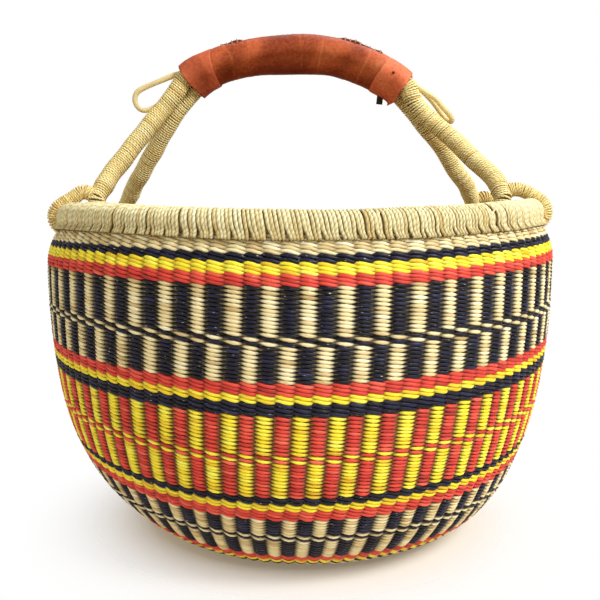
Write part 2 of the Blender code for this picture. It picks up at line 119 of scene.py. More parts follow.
def smooth_route(controls: Array, samples: int) -> Array:
    """Catmull-Rom curve: between controls b and c, with neighbours a and d, the point is
    (2b + (c - a)t + (2a - 5b + 4c - d)t^2 + (3b - a - 3c + d)t^3) / 2.

    Args:
        controls: points, one per row.
        samples: points between two controls.
    Returns:
        The curve's points, one per row.
    """
    ends = (2 * controls[0] - controls[1], 2 * controls[-1] - controls[-2])
    padded = np.vstack([ends[0], controls, ends[1]])
    a, b, c, d = (padded[i:len(padded) - 3 + i, None] for i in range(4))
    t = (np.arange(samples) / samples)[None, :, None]
    inner = 0.5 * (2 * b + (c - a) * t + (2 * a - 5 * b + 4 * c - d) * t ** 2
                   + (3 * b - a - 3 * c + d) * t ** 3)
    return np.vstack([inner.reshape(-1, controls.shape[1]), controls[-1]])


@dataclass
class Path:
    """A line in space with a square frame carried along it, read by distance.

    At each point the tangent T is the line's direction, the first side is `ref` less its part
    along T, and the second side is T x first.
    """

    points: Array
    ref: Array

    def __post_init__(self) -> None:
        """Work out distances and frames."""
        self.distance = travelled(self.points)
        self.length = float(self.distance[-1])
        tangent = unit(np.gradient(self.points, self.distance, axis=0))
        ref = np.asarray(self.ref, float)
        first = unit(ref - tangent * (tangent @ ref)[:, None])
        self.table = np.hstack([self.points, first, np.cross(tangent, first), tangent])

    def at(self, distance: Array) -> tuple[Array, Array, Array, Array]:
        """Point, first side, second side and tangent at distances from the start."""
        row = read(distance, self.distance, self.table)
        return row[..., :3], unit(row[..., 3:6]), unit(row[..., 6:9]), unit(row[..., 9:12])


class Skin:
    """Closed surfaces gathered into one mesh, with a lay (UV) and point attributes."""

    def __init__(self) -> None:
        """Start with nothing."""
        self.points: list[Array] = []
        self.quads: list[Array] = []
        self.caps: list[Array] = []
        self.lay: list[Array] = []
        self.cap_lay: list[Array] = []
        self.tone: list[Array] = []
        self.shade: list[Array] = []
        self.size = 0

    def add(self, rings: Array, along: Array, around: Array, tone: Array | float = 0.0,
            shade: Array | float = 1.0, closed: bool = False) -> None:
        """Join rings of points into tubes: ring i point j meets ring i + 1 and point j + 1.

        Args:
            rings: points as (tubes, rings, points, 3), anticlockwise seen from ahead.
            along: lay coordinate of each ring, with one more at the end if closed.
            around: lay coordinate of each point, with one more at the end.
            tone: per-point tone, broadcast to (tubes, rings, points): random for most pieces, and
                on the leather also painted shade.
            shade: per-point openness from 0, deep in a gap, to 1, out in the light.
            closed: whether the last ring joins the first one.
        """
        tubes, count, sides, _ = rings.shape
        index = self.size + np.arange(tubes * count * sides).reshape(tubes, count, sides)
        here = index if closed else index[:, :-1]
        after = np.roll(index, -1, 1) if closed else index[:, 1:]
        quads = np.stack([here, np.roll(here, -1, 2), np.roll(after, -1, 2), after], -1)
        self.points.append(rings.reshape(-1, 3))
        self.quads.append(quads.reshape(-1, 4))
        along = np.broadcast_to(along, (tubes, along.shape[-1]))
        around = np.broadcast_to(around, (tubes, around.shape[-1]))
        u0, u1 = along[:, :-1, None], along[:, 1:, None]
        v0, v1 = around[:, None, :-1], around[:, None, 1:]
        corners = [np.stack(np.broadcast_arrays(u, v), -1)
                   for u, v in ((u0, v0), (u0, v1), (u1, v1), (u1, v0))]
        self.lay.append(np.stack(corners, 3).reshape(-1, 2))
        if not closed:
            caps = np.stack([index[:, 0, ::-1], index[:, -1]], 1).reshape(-1, sides)
            self.caps.append(caps)
            self.cap_lay.append(np.zeros((caps.size, 2)))
        self.tone.append(np.broadcast_to(tone, rings.shape[:3]).ravel())
        self.shade.append(np.broadcast_to(shade, rings.shape[:3]).ravel())
        self.size += tubes * count * sides

    def mesh(self, name: str) -> bpy.types.Mesh:
        """Write the gathered faces into one smooth mesh.

        Args:
            name: the mesh's name.
        Returns:
            The mesh, with its lay, tone and shade.
        """
        made = bpy.data.meshes.new(name)
        faces = [*self.quads, *self.caps]
        corners = np.concatenate([f.ravel() for f in faces]).astype(np.int32)
        totals = np.concatenate([np.full(len(f), f.shape[1]) for f in faces])
        starts = np.concatenate([[0], np.cumsum(totals)[:-1]]).astype(np.int32)
        made.vertices.add(self.size)
        made.vertices.foreach_set("co", np.concatenate(self.points).astype(np.float32).ravel())
        made.loops.add(len(corners))
        made.loops.foreach_set("vertex_index", corners)
        made.polygons.add(len(starts))
        made.polygons.foreach_set("loop_start", starts)
        made.update(calc_edges=True)
        made.polygons.foreach_set("use_smooth", np.ones(len(starts), bool))
        lay = np.concatenate([*self.lay, *self.cap_lay]).astype(np.float32)
        made.uv_layers.new(name="lay").data.foreach_set("uv", lay.ravel())
        for attribute, values in (("tone", self.tone), ("shade", self.shade)):
            data = made.attributes.new(attribute, "FLOAT", "POINT").data
            data.foreach_set("value", np.concatenate(values).astype(np.float32))
        made.validate()
        return made


# Finishes -----------------------------------------------------------------------------------


class Wire:
    """A shader value. Sums, products and powers of wires add Math nodes."""

    def __init__(self, graph: "Graph", socket: bpy.types.NodeSocket) -> None:
        """Wrap one output socket of a graph."""
        self.graph, self.socket = graph, socket

    def __add__(self, other: "Wire | float") -> "Wire":
        """self + other."""
        return self.graph.maths("ADD", self, other)

    def __sub__(self, other: "Wire | float") -> "Wire":
        """self - other."""
        return self.graph.maths("SUBTRACT", self, other)

    def __rsub__(self, other: float) -> "Wire":
        """other - self."""
        return self.graph.maths("SUBTRACT", other, self)

    def __mul__(self, other: "Wire | float") -> "Wire":
        """self * other."""
        return self.graph.maths("MULTIPLY", self, other)

    def __pow__(self, other: "Wire | float") -> "Wire":
        """self to the power of other."""
        return self.graph.maths("POWER", self, other)

    def span(self, low: float, high: float) -> "Wire":
        """(self - low) / (high - low), held between 0 and 1.

        Args:
            low: where it is 0.
            high: where it is 1.
        Returns:
            The share.
        """
        node = self.graph.node("ShaderNodeMapRange", {"clamp": True},
                               {"Value": self, "From Min": low, "From Max": high})
        return Wire(self.graph, node.outputs["Result"])

    __radd__ = __add__
    __rmul__ = __mul__


class Graph:
    """One material's nodes."""

    def __init__(self, name: str) -> None:
        """Start a material that has only its Principled shader.

        Args:
            name: the material's name.
        """
        self.material = bpy.data.materials.new(name)
        self.material.use_nodes = True
        self.tree = self.material.node_tree
        self.shader = self.tree.nodes["Principled BSDF"]

    def node(self, kind: str, settings: dict | None = None,
             sockets: dict | None = None) -> bpy.types.Node:
        """Add a node.

        Args:
            kind: the node's type.
            settings: its properties; "stops" gives a ramp's (position, colour) pairs.
            sockets: a value or wire for each input, by name or number.
        Returns:
            The node.
        """
        made = self.tree.nodes.new(kind)
        for key, value in (settings or {}).items():
            if key == "stops":
                ramp = made.color_ramp.elements
                while len(ramp) < len(value):
                    ramp.new(0.5)
                for element, (place, colour) in zip(ramp, value):
                    element.position, element.color = place, (*colour, 1.0)
            else:
                setattr(made, key, value)
        for key, value in (sockets or {}).items():
            self.feed(made.inputs[key], value)
        return made

    def feed(self, socket: bpy.types.NodeSocket, value: object) -> None:
        """Give a socket a wire or a plain value.

        Args:
            socket: the input.
            value: a wire, a number, a vector, or a colour, which gets an alpha of 1.
        """
        if isinstance(value, Wire):
            self.tree.links.new(value.socket, socket)
        elif isinstance(value, tuple) and len(value) == 3 and len(socket.default_value) == 4:
            socket.default_value = (*value, 1.0)
        else:
            socket.default_value = value

    def maths(self, operation: str, *values: "Wire | float") -> Wire:
        """One Math node."""
        node = self.node("ShaderNodeMath", {"operation": operation}, dict(enumerate(values)))
        return Wire(self, node.outputs[0])

    def attribute(self, name: str) -> Wire:
        """A mesh attribute's value."""
        return Wire(self, self.node("ShaderNodeAttribute", {"attribute_name": name}).outputs["Fac"])

    def scaled(self, source: bpy.types.NodeSocket, scale: Colour) -> Wire:
        """A vector times a factor for each axis.

        Args:
            source: the vector's output.
            scale: the three factors.
        Returns:
            The scaled vector.
        """
        node = self.node("ShaderNodeVectorMath", {"operation": "MULTIPLY"},
                         {0: Wire(self, source), 1: scale})
        return Wire(self, node.outputs[0])

    def lay(self, along: float, around: float) -> Wire:
        """The lay, stretched along and around."""
        source = self.node("ShaderNodeUVMap", {"uv_map": "lay"})
        return self.scaled(source.outputs[0], (along, around, 1.0))

    def place(self, scale: Colour = (1.0, 1.0, 1.0)) -> Wire:
        """The point on the object, scaled."""
        return self.scaled(self.node("ShaderNodeTexCoord").outputs["Object"], scale)

    def noise(self, where: Wire, scale: float, detail: float = 2.0,
              roughness: float = 0.5) -> Wire:
        """Noise from 0 to 1.

        Args:
            where: the place at which it is read.
            scale: how close its bumps are.
            detail: how many finer layers it has.
            roughness: how strong the finer layers are.
        Returns:
            The noise.
        """
        node = self.node("ShaderNodeTexNoise", {},
                         {"Vector": where, "Scale": scale, "Detail": detail,
                          "Roughness": roughness})
        return Wire(self, node.outputs["Fac"])

    def plies(self, pitch: float) -> Wire:
        """Grooves between two twisted plies: ((1 - cos a) / 2)^2, where the phase a is a turn
        for each pitch along the lay, less two turns for each way round it.

        Args:
            pitch: length of cord in which a ply goes round once.
        Returns:
            0 on a ply, 1 in a groove.
        """
        lay = self.node("ShaderNodeSeparateXYZ", {}, {0: self.lay(1 / pitch, -2 / CORD_GIRTH)})
        phase = (Wire(self, lay.outputs[0]) + Wire(self, lay.outputs[1])) * TAU
        return (0.5 - self.maths("COSINE", phase) * 0.5) ** 2.0

    def mix(self, share: Wire | float, first: Wire | Colour, second: Wire | Colour,
            blend: str = "MIX") -> Wire:
        """Two colours mixed by a share.

        Args:
            share: how much of the second colour shows.
            first: the colour at 0.
            second: the colour at 1.
            blend: the way that they are mixed.
        Returns:
            The colour.
        """
        node = self.node("ShaderNodeMix", {"data_type": "RGBA", "blend_type": blend},
                         {0: share, 6: first, 7: second})
        return Wire(self, node.outputs[2])

    def bump(self, height: Wire, strength: float, distance: float) -> None:
        """Relief from a height.

        Args:
            height: the height.
            strength: how much of the relief shows.
            distance: what a height of 1 measures, in metres.
        """
        node = self.node("ShaderNodeBump", {}, {"Height": height, "Strength": strength,
                                                "Distance": distance})
        self.feed(self.shader.inputs["Normal"], Wire(self, node.outputs[0]))


@dataclass(frozen=True)
class Straw:
    """Straw, dyed or plain: fine fibres along its lay, a tone that changes from strand to strand,
    painted shade in the gaps, and pale flecks where the dye did not take, which on the navy straw
    also serve as painted glints."""

    name: str
    base: Colour
    dark: Colour
    pale: Colour
    fleck: Colour = (0.95, 0.9, 0.7)
    flecks: float = 0.0
    roughness: float = 0.55
    relief: float = 0.5
    gap_dark: float = 0.88
    specular: float = 0.5
    ply: float = 0.0
    ply_dark: float = 0.6
    fibre_lay: tuple[float, float] = (180.0, 2600.0)
    blotch_lay: tuple[float, float] = (120.0, 90.0)
    fleck_lay: tuple[float, float] = (420.0, 1500.0)
    tone_push: float = 0.42
    fibre_push: float = 1.5
    blotch_push: float = 0.9
    open_from: float = 0.04
    open_at: float = 0.72
    relief_height: float = 0.00030

    def make(self) -> bpy.types.Material:
        """Build the material.

        Returns:
            A material whose colour is base, pushed to pale or dark by tone and fibre, and darkened
            by painted shade where the shade attribute falls.
        """
        g = Graph(self.name)
        tone, shade = g.attribute("tone"), g.attribute("shade")
        fibre = g.noise(g.lay(*self.fibre_lay), 1.0, 3.0, 0.6)
        blotch = g.noise(g.lay(*self.blotch_lay), 1.0, 2.0)
        push = (tone * self.tone_push + (fibre - 0.5) * self.fibre_push
                + (blotch - 0.5) * self.blotch_push)
        colour = g.mix((push * 0.9).span(0.0, 0.9), self.base, self.pale)
        colour = g.mix((push * -0.9).span(0.0, 0.9), colour, self.dark)
        if self.flecks:
            rare = 0.80 - 0.1 * self.flecks
            spots = g.noise(g.lay(*self.fleck_lay), 1.0, 1.0).span(rare, rare + 0.06)
            colour = g.mix(spots, colour, self.fleck)
        relief, deep = fibre, 0.10
        if self.ply:
            groove = g.plies(self.ply)
            # Painted shade: the grooves between the plies are darkened.
            colour = g.mix(groove * self.ply_dark, colour, tuple(0.6 * c for c in self.dark))
            relief, deep = fibre * 0.5 - groove * 1.1, 0.32
        # Painted shade: the colour sinks towards a dark copy of itself where the shade attribute
        # falls, in the gaps between strands and between turns of cord.
        gap = (1.0 - shade.span(self.open_from, self.open_at)) * self.gap_dark
        colour = g.mix(gap, colour, tuple(deep * c for c in self.dark))
        g.feed(g.shader.inputs["Base Color"], colour)
        g.feed(g.shader.inputs["Roughness"], fibre * 0.2 + (self.roughness - 0.1))
        g.shader.inputs["Specular IOR Level"].default_value = self.specular
        g.bump(relief, self.relief, self.relief_height)
        return g.material


@dataclass(frozen=True)
class Hide:
    """Goat leather: fine grain, soft mottling, creases from an attribute and worn, paler
    ridges."""

    name: str
    base: Colour
    dark: Colour
    pale: Colour
    roughness: float = 0.5
    specular: float = 0.18
    grain_scale: float = 1400.0
    mottle_scale: float = 430.0
    cloud_scale: float = 60.0
    relief: float = 0.35
    relief_height: float = 0.0006

    def make(self) -> bpy.types.Material:
        """Build the material.

        Returns:
            A material whose colour is base, pushed to pale or dark by mottling and tone, and
            darkened where the shade attribute falls.
        """
        g = Graph(self.name)
        where = g.place()
        grain = g.noise(where, self.grain_scale, 3.0, 0.6)
        mottle = g.noise(where, self.mottle_scale, 4.0, 0.7)
        cloud = g.noise(where, self.cloud_scale, 2.0)
        shade, tone = g.attribute("shade"), g.attribute("tone")
        push = (mottle - 0.5) * 2.0 + (cloud - 0.5) * 0.9 + (grain - 0.5) * 0.6
        # The tone attribute carries the creases and scuffs, and also painted shade from the sleeve:
        # darker ends, underside and top.
        colour = g.mix((push + tone * 0.9).span(0.05, 0.8), self.base, self.pale)
        colour = g.mix((push * -1.0 - tone * 0.6).span(0.0, 0.8), colour, self.dark)
        # Painted shade: the colour darkens where the shade attribute falls.
        colour = g.mix((1.0 - shade.span(0.0, 1.0)) * 0.85, colour,
                       tuple(0.25 * c for c in self.dark))
        g.feed(g.shader.inputs["Base Color"], colour)
        g.feed(g.shader.inputs["Roughness"], mottle * 0.25 + (self.roughness - 0.12))
        g.shader.inputs["Specular IOR Level"].default_value = self.specular
        g.bump(grain * 0.6 + mottle * 0.9, self.relief, self.relief_height)
        return g.material


class Finish(Enum):
    """The finishes of the basket's pieces."""

    NATURAL = Straw("natural_straw", base=(0.85, 0.73, 0.40), dark=(0.52, 0.35, 0.14),
                    pale=(0.96, 0.91, 0.66))
    # Its pale flecks are partly undyed fibres and partly painted glints.
    NAVY = Straw("navy_straw", base=(0.004, 0.004, 0.019), dark=(0.002, 0.002, 0.007),
                 pale=(0.020, 0.022, 0.072), fleck=(0.62, 0.60, 0.50), flecks=0.95,
                 roughness=0.42, relief=0.6, gap_dark=0.9, specular=0.30)
    YELLOW = Straw("yellow_straw", base=(0.95, 0.80, 0.024), dark=(0.72, 0.42, 0.010),
                   pale=(0.97, 0.95, 0.12), fleck=(0.95, 0.9, 0.5), flecks=0.3)
    RED = Straw("red_straw", base=(0.72, 0.048, 0.028), dark=(0.36, 0.014, 0.012),
                pale=(0.86, 0.15, 0.09), fleck=(0.92, 0.60, 0.45), flecks=0.55)
    RIM_CORD = Straw("rim_cord", base=(0.80, 0.73, 0.41), dark=(0.55, 0.38, 0.12),
                     pale=(0.93, 0.90, 0.66), roughness=0.6, relief=0.6, gap_dark=0.95,
                     ply=0.0036, ply_dark=0.5)
    LEG_CORD = Straw("leg_cord", base=(0.97, 0.80, 0.34), dark=(0.66, 0.42, 0.12),
                     pale=(0.98, 0.92, 0.54), roughness=0.6, relief=0.6, gap_dark=0.85,
                     ply=0.0030, ply_dark=0.55)
    TAIL_STRAW = Straw("tail_straw", base=(0.70, 0.56, 0.26), dark=(0.42, 0.30, 0.12),
                       pale=(0.88, 0.78, 0.46), roughness=0.5, relief=0.4, gap_dark=0.7)
    GRASS = Straw("grass_core", base=(0.44, 0.31, 0.13), dark=(0.24, 0.15, 0.05),
                  pale=(0.60, 0.46, 0.22), roughness=0.8, relief=0.6, gap_dark=0.5)
    STITCH = Straw("grey_thread", base=(0.30, 0.22, 0.13), dark=(0.12, 0.08, 0.05),
                   pale=(0.5, 0.42, 0.28), roughness=0.7, relief=0.4, gap_dark=0.5)
    LEATHER = Hide("grip_leather", base=(0.52, 0.112, 0.036), dark=(0.26, 0.034, 0.010),
                   pale=(0.62, 0.20, 0.085))
    LEFT_COLLAR = Hide("left_collar_leather", base=(0.60, 0.130, 0.052),
                       dark=(0.34, 0.055, 0.020), pale=(0.76, 0.28, 0.16))
    RIGHT_COLLAR = Hide("right_collar_leather", base=(0.78, 0.178, 0.072),
                        dark=(0.48, 0.075, 0.028), pale=(0.90, 0.34, 0.18))
    DARK_TIE = Hide("dark_tie", base=(0.035, 0.020, 0.012), dark=(0.012, 0.008, 0.005),
                    pale=(0.08, 0.05, 0.03))

    @cached_property
    def material(self) -> bpy.types.Material:
        """The finish's material, built once."""
        return self.value.make()


def show(name: str, skin: Skin, finish: Finish, slot: str, *nodes: str) -> bpy.types.Object:
    """Put a skin into the scene as one piece that rides on the basket.

    Args:
        name: the piece's name.
        skin: its surfaces.
        finish: its finish.
        slot: the record's material slot. Not used.
        nodes: the solids that it stands for.
    Returns:
        The piece.
    """
    piece = bpy.data.objects.new(name, skin.mesh(name))
    bpy.context.scene.collection.objects.link(piece)
    piece.data.materials.append(finish.material)
    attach(piece, "root")
    if nodes:
        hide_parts(*nodes)
    log.info("%s: %d triangles", name, sum(len(p.vertices) - 2 for p in piece.data.polygons))
    return piece


# The basket ---------------------------------------------------------------------------------


@dataclass(frozen=True)
class Bowl:
    """The bowl's form, and how the weave is laid on it.

    `leans` pairs arc lengths with how far the stakes lean to the right there, in stakes.
    """

    belly_radius: float = 0.2020
    belly_level: float = 0.2054
    curve_cut: float = 0.0018
    depth_power: float = 2.182
    radius_power: float = 5.964
    throat_pull: float = 0.0143
    wall: float = 0.0050
    rim_level: float = 0.2410
    rim_inset: float = 0.0068
    wall_top_drop: float = 0.0045
    heel_bend: float = 0.0120
    saddle_rise: float = 0.0110
    saddle_fade: float = 0.0600
    left_drop: float = 0.0060
    left_power: int = 5
    left_levels: tuple[float, float] = (0.11, 0.24)
    dent: float = 0.0077
    dent_turn: float = -1.03
    dent_arc: float = 0.0460
    dent_width: float = 0.58
    dent_height: float = 0.055
    rows: int = 113
    stakes: int = 112
    leans: tuple[tuple[float, float], ...] = (
        (-0.09, -1.25), (0.0, -1.05), (0.0609, -0.86), (0.1013, -0.62), (0.1105, -0.42),
        (0.119, -0.20), (0.1738, 0.10), (0.1941, 0.27), (0.2194, 0.42), (0.2527, 0.50),
        (0.2862, 0.50))

    @cached_property
    def outer(self) -> tuple[Array, Array, Array]:
        """The outer curve: below the belly the radius is R (1 - (depth / D)^p)^(1/q), and above
        it R - pull ((level - belly) / (rim - belly))^2.

        Returns:
            Arc length, radius and level, from the base's edge up.
        """
        level = (self.rim_level - self.wall_top_drop) * np.linspace(0.0, 1.0, 3001) ** 2
        climb = (level - self.belly_level) / (self.rim_level - self.belly_level)
        depth = np.clip(self.belly_level - level, 0.0, None) / (self.belly_level + self.curve_cut)
        low = self.belly_radius * (1.0 - depth ** self.depth_power) ** (1.0 / self.radius_power)
        radius = np.where(climb > 0, self.belly_radius - self.throat_pull * climb ** 2, low)
        return travelled(np.column_stack([radius, level])), radius, level

    @cached_property
    def length(self) -> float:
        """Arc length from the base's edge to the wall's top."""
        return float(self.outer[0][-1])

    @cached_property
    def base_radius(self) -> float:
        """Radius of the flat base."""
        return float(self.outer[1][0])

    @property
    def pitch(self) -> float:
        """Height of one row of weave."""
        return self.length / self.rows

    @property
    def rim_radius(self) -> float:
        """Radius of the circle that the rim roll follows."""
        return float(self.outer[1][-1]) - self.rim_inset

    @cached_property
    def middle(self) -> Array:
        """The wall's middle surface, which is the outer curve moved inwards by half the wall,
        and the base below it.

        Returns:
            Rows of arc length, radius, level and outward normal.
        """
        arc, radius, level = self.outer
        slope = unit(np.stack([np.gradient(radius, arc), np.gradient(level, arc)], -1))
        out = np.stack([slope[:, 1], -slope[:, 0]], -1)
        flat = np.linspace(-self.base_radius, -1e-5, 60)
        turned = ease(-self.heel_bend, 0.0, flat)[:, None] * (out[0] - np.array([0.0, -1.0]))
        flat_out = unit(np.array([0.0, -1.0]) + turned)
        table = np.vstack([np.column_stack([flat, self.base_radius + flat, 0 * flat, flat_out]),
                           np.column_stack([arc, radius, level, out])])
        table[:, 1:3] -= table[:, 3:5] * self.wall / 2
        return table

    def lift(self, level: Array, turn: Array) -> Array:
        """Saddle: rise min(level / fade, 1) sin(turn)^2, less drop |sin(turn)|^left_power on
        the left, where the drop grows smoothly between the left levels.

        Args:
            level: height over the base.
            turn: angle from the front, to the right.
        Returns:
            How far the basket is raised there.
        """
        left = np.clip(-np.sin(turn), 0, 1) ** self.left_power
        drop = self.left_drop * ease(*self.left_levels, level) * left
        return self.saddle_rise * np.clip(level / self.saddle_fade, 0, 1) * np.sin(turn) ** 2 - drop

    def spot(self, arc: Array, turn: Array, out: Array) -> Array:
        """Point at an arc length and a turn from the front, `out` from the middle surface.

        The lower left is dented by dent exp(-(t / dent_width)^2 - (a / dent_height)^2), with t
        and a the turn and arc length from the dent's middle.

        Args:
            arc: arc length from the base's edge, below 0 on the base.
            turn: angle from the front, to the right.
            out: distance from the middle surface.
        Returns:
            Points, in the shape that the three have together.
        """
        apart = (turn - self.dent_turn + np.pi) % TAU - np.pi
        out = out - self.dent * np.exp(-(apart / self.dent_width) ** 2
                                       - ((arc - self.dent_arc) / self.dent_height) ** 2)
        radius, level, radius_out, level_out = self.wall_row(arc)
        radius, level = radius + radius_out * out, level + level_out * out
        return around_axis(radius, turn, level + self.lift(level, turn))

    def wall_row(self, arc: Array) -> Array:
        """Radius, level and outward normal of the middle surface at an arc length."""
        return np.moveaxis(read(arc, self.middle[:, 0], self.middle[:, 1:]), -1, 0)

    def lean(self, arc: Array) -> Array:
        """How far the stakes lean to the right, in stakes, at an arc length."""
        return np.interp(arc, *zip(*self.leans))


@dataclass(frozen=True)
class Weave:
    """Two strands that twine round each other and take turns over the stakes."""

    bowl: Bowl
    swing: float = 0.00160
    cross: float = 0.00064
    half_height: float = 0.00140
    half_crossing: float = 0.00074
    plain_cross: float = 0.00100
    plain_half_crossing: float = 0.00112
    plain_open: float = 0.45
    half_thick: float = 0.00095
    per_stake: int = 4
    sides: int = 6
    drift_knots: int = 9
    drift_step: float = 0.055
    drift_share: float = 0.45
    wobble: float = 0.00035
    wobble_from: float = 0.02
    row_slip: float = 0.00008
    uneven_size: float = 0.05
    row_tone: float = 0.45
    stake_tone: float = 0.75
    edge_shade: float = 0.70
    row_lay: tuple[float, float] = (0.37, 0.0173)

    @cached_property
    def drift(self) -> Array:
        """Seeded unevenness of the stakes' places: a random walk up each stake.

        Returns:
            Shifts at (height knots, stakes), in stakes.
        """
        steps = np.random.default_rng(7).normal(
            0.0, self.drift_step, (self.drift_knots, self.bowl.stakes))
        return steps.cumsum(0) * self.drift_share

    def drifted(self, row_arc: Array, u: Array) -> Array:
        """The stakes' drift, straight between its knots and between the stakes.

        Args:
            row_arc: arc length of each row.
            u: places along a row, in stakes.
        Returns:
            Shifts at (rows, places), in stakes.
        """
        drift = self.drift
        knots = np.clip(row_arc / self.bowl.length, 0, 1) * (len(drift) - 1)
        low = np.minimum(knots.astype(int), len(drift) - 2)
        share = (knots - low)[:, None]
        rows = drift[low] * (1 - share) + drift[low + 1] * share
        ends = np.hstack([rows, rows[:, :1]])
        below = np.floor(u).astype(int)
        return ends[:, below] * (1 - u + below) + ends[:, below + 1] * (u - below)

    def strands(self, skin: Skin, rows: Array, shifts: Array, first: int, stakes: int,
                seed: int, plain: bool = True) -> None:
        """Lay one strand of each row.

        Over the stakes the strand swings out by swing cos(pi (u - s)) and up by
        -cross sin(pi (u - s)), where u counts stakes and s is the row's shift. Its half height is
        half_crossing + (half_height - half_crossing) cos^2, so that it shows as a lozenge.

        Args:
            skin: receives the strands.
            rows: row numbers, counted up from the base's edge.
            shifts: how many stakes each row's colours are shifted.
            first: 0 or 1, which strand of the pair.
            stakes: stakes all the way round.
            seed: seed of the strand's unevenness.
            plain: whether both strands of a row have one colour. They then cross more steeply, stay
                fuller and get less painted shade at the crossings, so that they show as a rope
                without gaps.
        """
        bowl, rows_up = self.bowl, rows[:, None]
        cross = self.plain_cross if plain else self.cross
        half_crossing = self.plain_half_crossing if plain else self.half_crossing
        least = self.plain_open if plain else 0.0
        chance = np.random.default_rng(seed)
        count, table = stakes * self.per_stake, (len(rows), stakes)
        u = np.arange(count) / self.per_stake
        over_stake = np.round(u).astype(int) % stakes
        phase = np.pi * (u[None, :] - (shifts + first)[:, None])
        over, side = np.cos(phase), np.sin(phase)
        size = 1.0 + chance.normal(0.0, self.uneven_size, table)[:, over_stake]
        row_arc = (rows + 0.5) * bowl.pitch
        wobble = waves(3, 5, 6.0, np.sin(u * TAU / stakes)[None], np.cos(u * TAU / stakes)[None],
                       0.12 * rows_up)
        settled = ease(0.0, self.wobble_from, row_arc)[:, None]
        arc = row_arc[:, None] + self.wobble * wobble * settled - cross * side
        arc = arc + self.row_slip * chance.normal(0, 1, table)[:, over_stake]
        drift = self.drifted(row_arc, u) if stakes == bowl.stakes else 0.0
        turn = TAU / stakes * (u + drift + bowl.lean(row_arc)[:, None] * stakes / bowl.stakes)
        radius = np.interp(row_arc, bowl.middle[:, 0], bowl.middle[:, 1])[:, None]
        slope = -self.swing * np.pi * side * stakes / (TAU * radius)
        steep = np.sqrt(1 + slope ** 2)
        height = half_crossing + (self.half_height - half_crossing) * over ** 2 * size
        section = ring(self.sides)
        across = self.half_thick * np.sin(section)
        arcs = arc[..., None] + height[..., None] * np.cos(section)
        outs = (self.swing * over * size)[..., None] + across / steep[..., None]
        turns = turn[..., None] - across * (slope / steep / radius)[..., None]
        tone = chance.normal(0.0, self.row_tone, (len(rows), 1))
        tone = tone + chance.normal(0.0, self.stake_tone, table)[:, over_stake]
        # Painted shade: the strand darkens where it dives under at a crossing, down to plain_open
        # in a plain band, and towards its upper and lower edges by edge_shade.
        shade = (least + (1 - least) * np.abs(over))[..., None] * (
            self.edge_shade + (1 - self.edge_shade) * np.abs(np.sin(section)))
        along = np.arange(count + 1) / count * TAU * radius + self.row_lay[0] * rows_up
        girth = np.linspace(0.0, CORD_GIRTH, self.sides + 1) + self.row_lay[1] * rows_up
        skin.add(bowl.spot(arcs, turns, outs), along, girth, tone[..., None], shade, closed=True)


class Dye(Enum):
    """Straw colours: the finish and the record's slot for each."""

    NATURAL = (Finish.NATURAL, "natural")
    NAVY = (Finish.NAVY, "navy")
    YELLOW = (Finish.YELLOW, "yellow")
    RED = (Finish.RED, "red")


@dataclass(frozen=True)
class Band:
    """One band of the wall: its rows and its one or two colours.

    In a check band each strand of a row has its own colour, so that the columns are one stake
    wide. Where `turn` is set, the colours step one stake sideways on three rows running.
    """

    name: str
    rows: int
    dyes: tuple[Dye, ...]
    slot: str
    turn: int = 0

    def build(self, weave: Weave, start: int) -> None:
        """Weave the band.

        Args:
            weave: lays the strands.
            start: number of its lowest row.
        """
        rows = np.arange(start, start + self.rows)
        shifts = np.clip(start + self.turn + 2 - rows, 0, 3) if self.turn else 0 * rows
        skins = [Skin() for _ in self.dyes]
        for first in (0, 1):
            weave.strands(skins[first % len(skins)], rows, shifts, first, weave.bowl.stakes,
                          31 * start + first, len(skins) == 1)
        for skin, dye in zip(skins, self.dyes):
            name = self.name if len(skins) == 1 else f"{self.name}_{dye.name.lower()}"
            show(f"{name}_weave", skin, dye.value[0], self.slot, self.name)


BANDS = (
    Band("natural_foot_band", 17, (Dye.NATURAL,), "natural"),
    Band("navy_foot_band", 2, (Dye.NAVY,), "navy"),
    Band("yellow_foot_band", 2, (Dye.YELLOW,), "yellow"),
    Band("red_foot_band", 3, (Dye.RED,), "red"),
    Band("lower_check_band", 16, (Dye.NATURAL, Dye.NAVY), "navy_check", 8),
    Band("red_lower_band", 3, (Dye.RED,), "red"),
    Band("yellow_lower_band", 2, (Dye.YELLOW,), "yellow"),
    Band("navy_lower_band", 2, (Dye.NAVY,), "navy"),
    Band("middle_check_band", 22, (Dye.YELLOW, Dye.RED), "red_check", 10),
    Band("navy_middle_band", 3, (Dye.NAVY,), "navy"),
    Band("yellow_middle_band", 2, (Dye.YELLOW,), "yellow"),
    Band("red_middle_band", 3, (Dye.RED,), "red"),
    Band("upper_check_band", 23, (Dye.NATURAL, Dye.NAVY), "navy_check", 9),
    Band("red_upper_band", 3, (Dye.RED,), "red"),
    Band("yellow_upper_band", 3, (Dye.YELLOW,), "yellow"),
    Band("navy_upper_band", 2, (Dye.NAVY,), "navy"),
    Band("natural_upper_band", 5, (Dye.NATURAL,), "natural"),
)


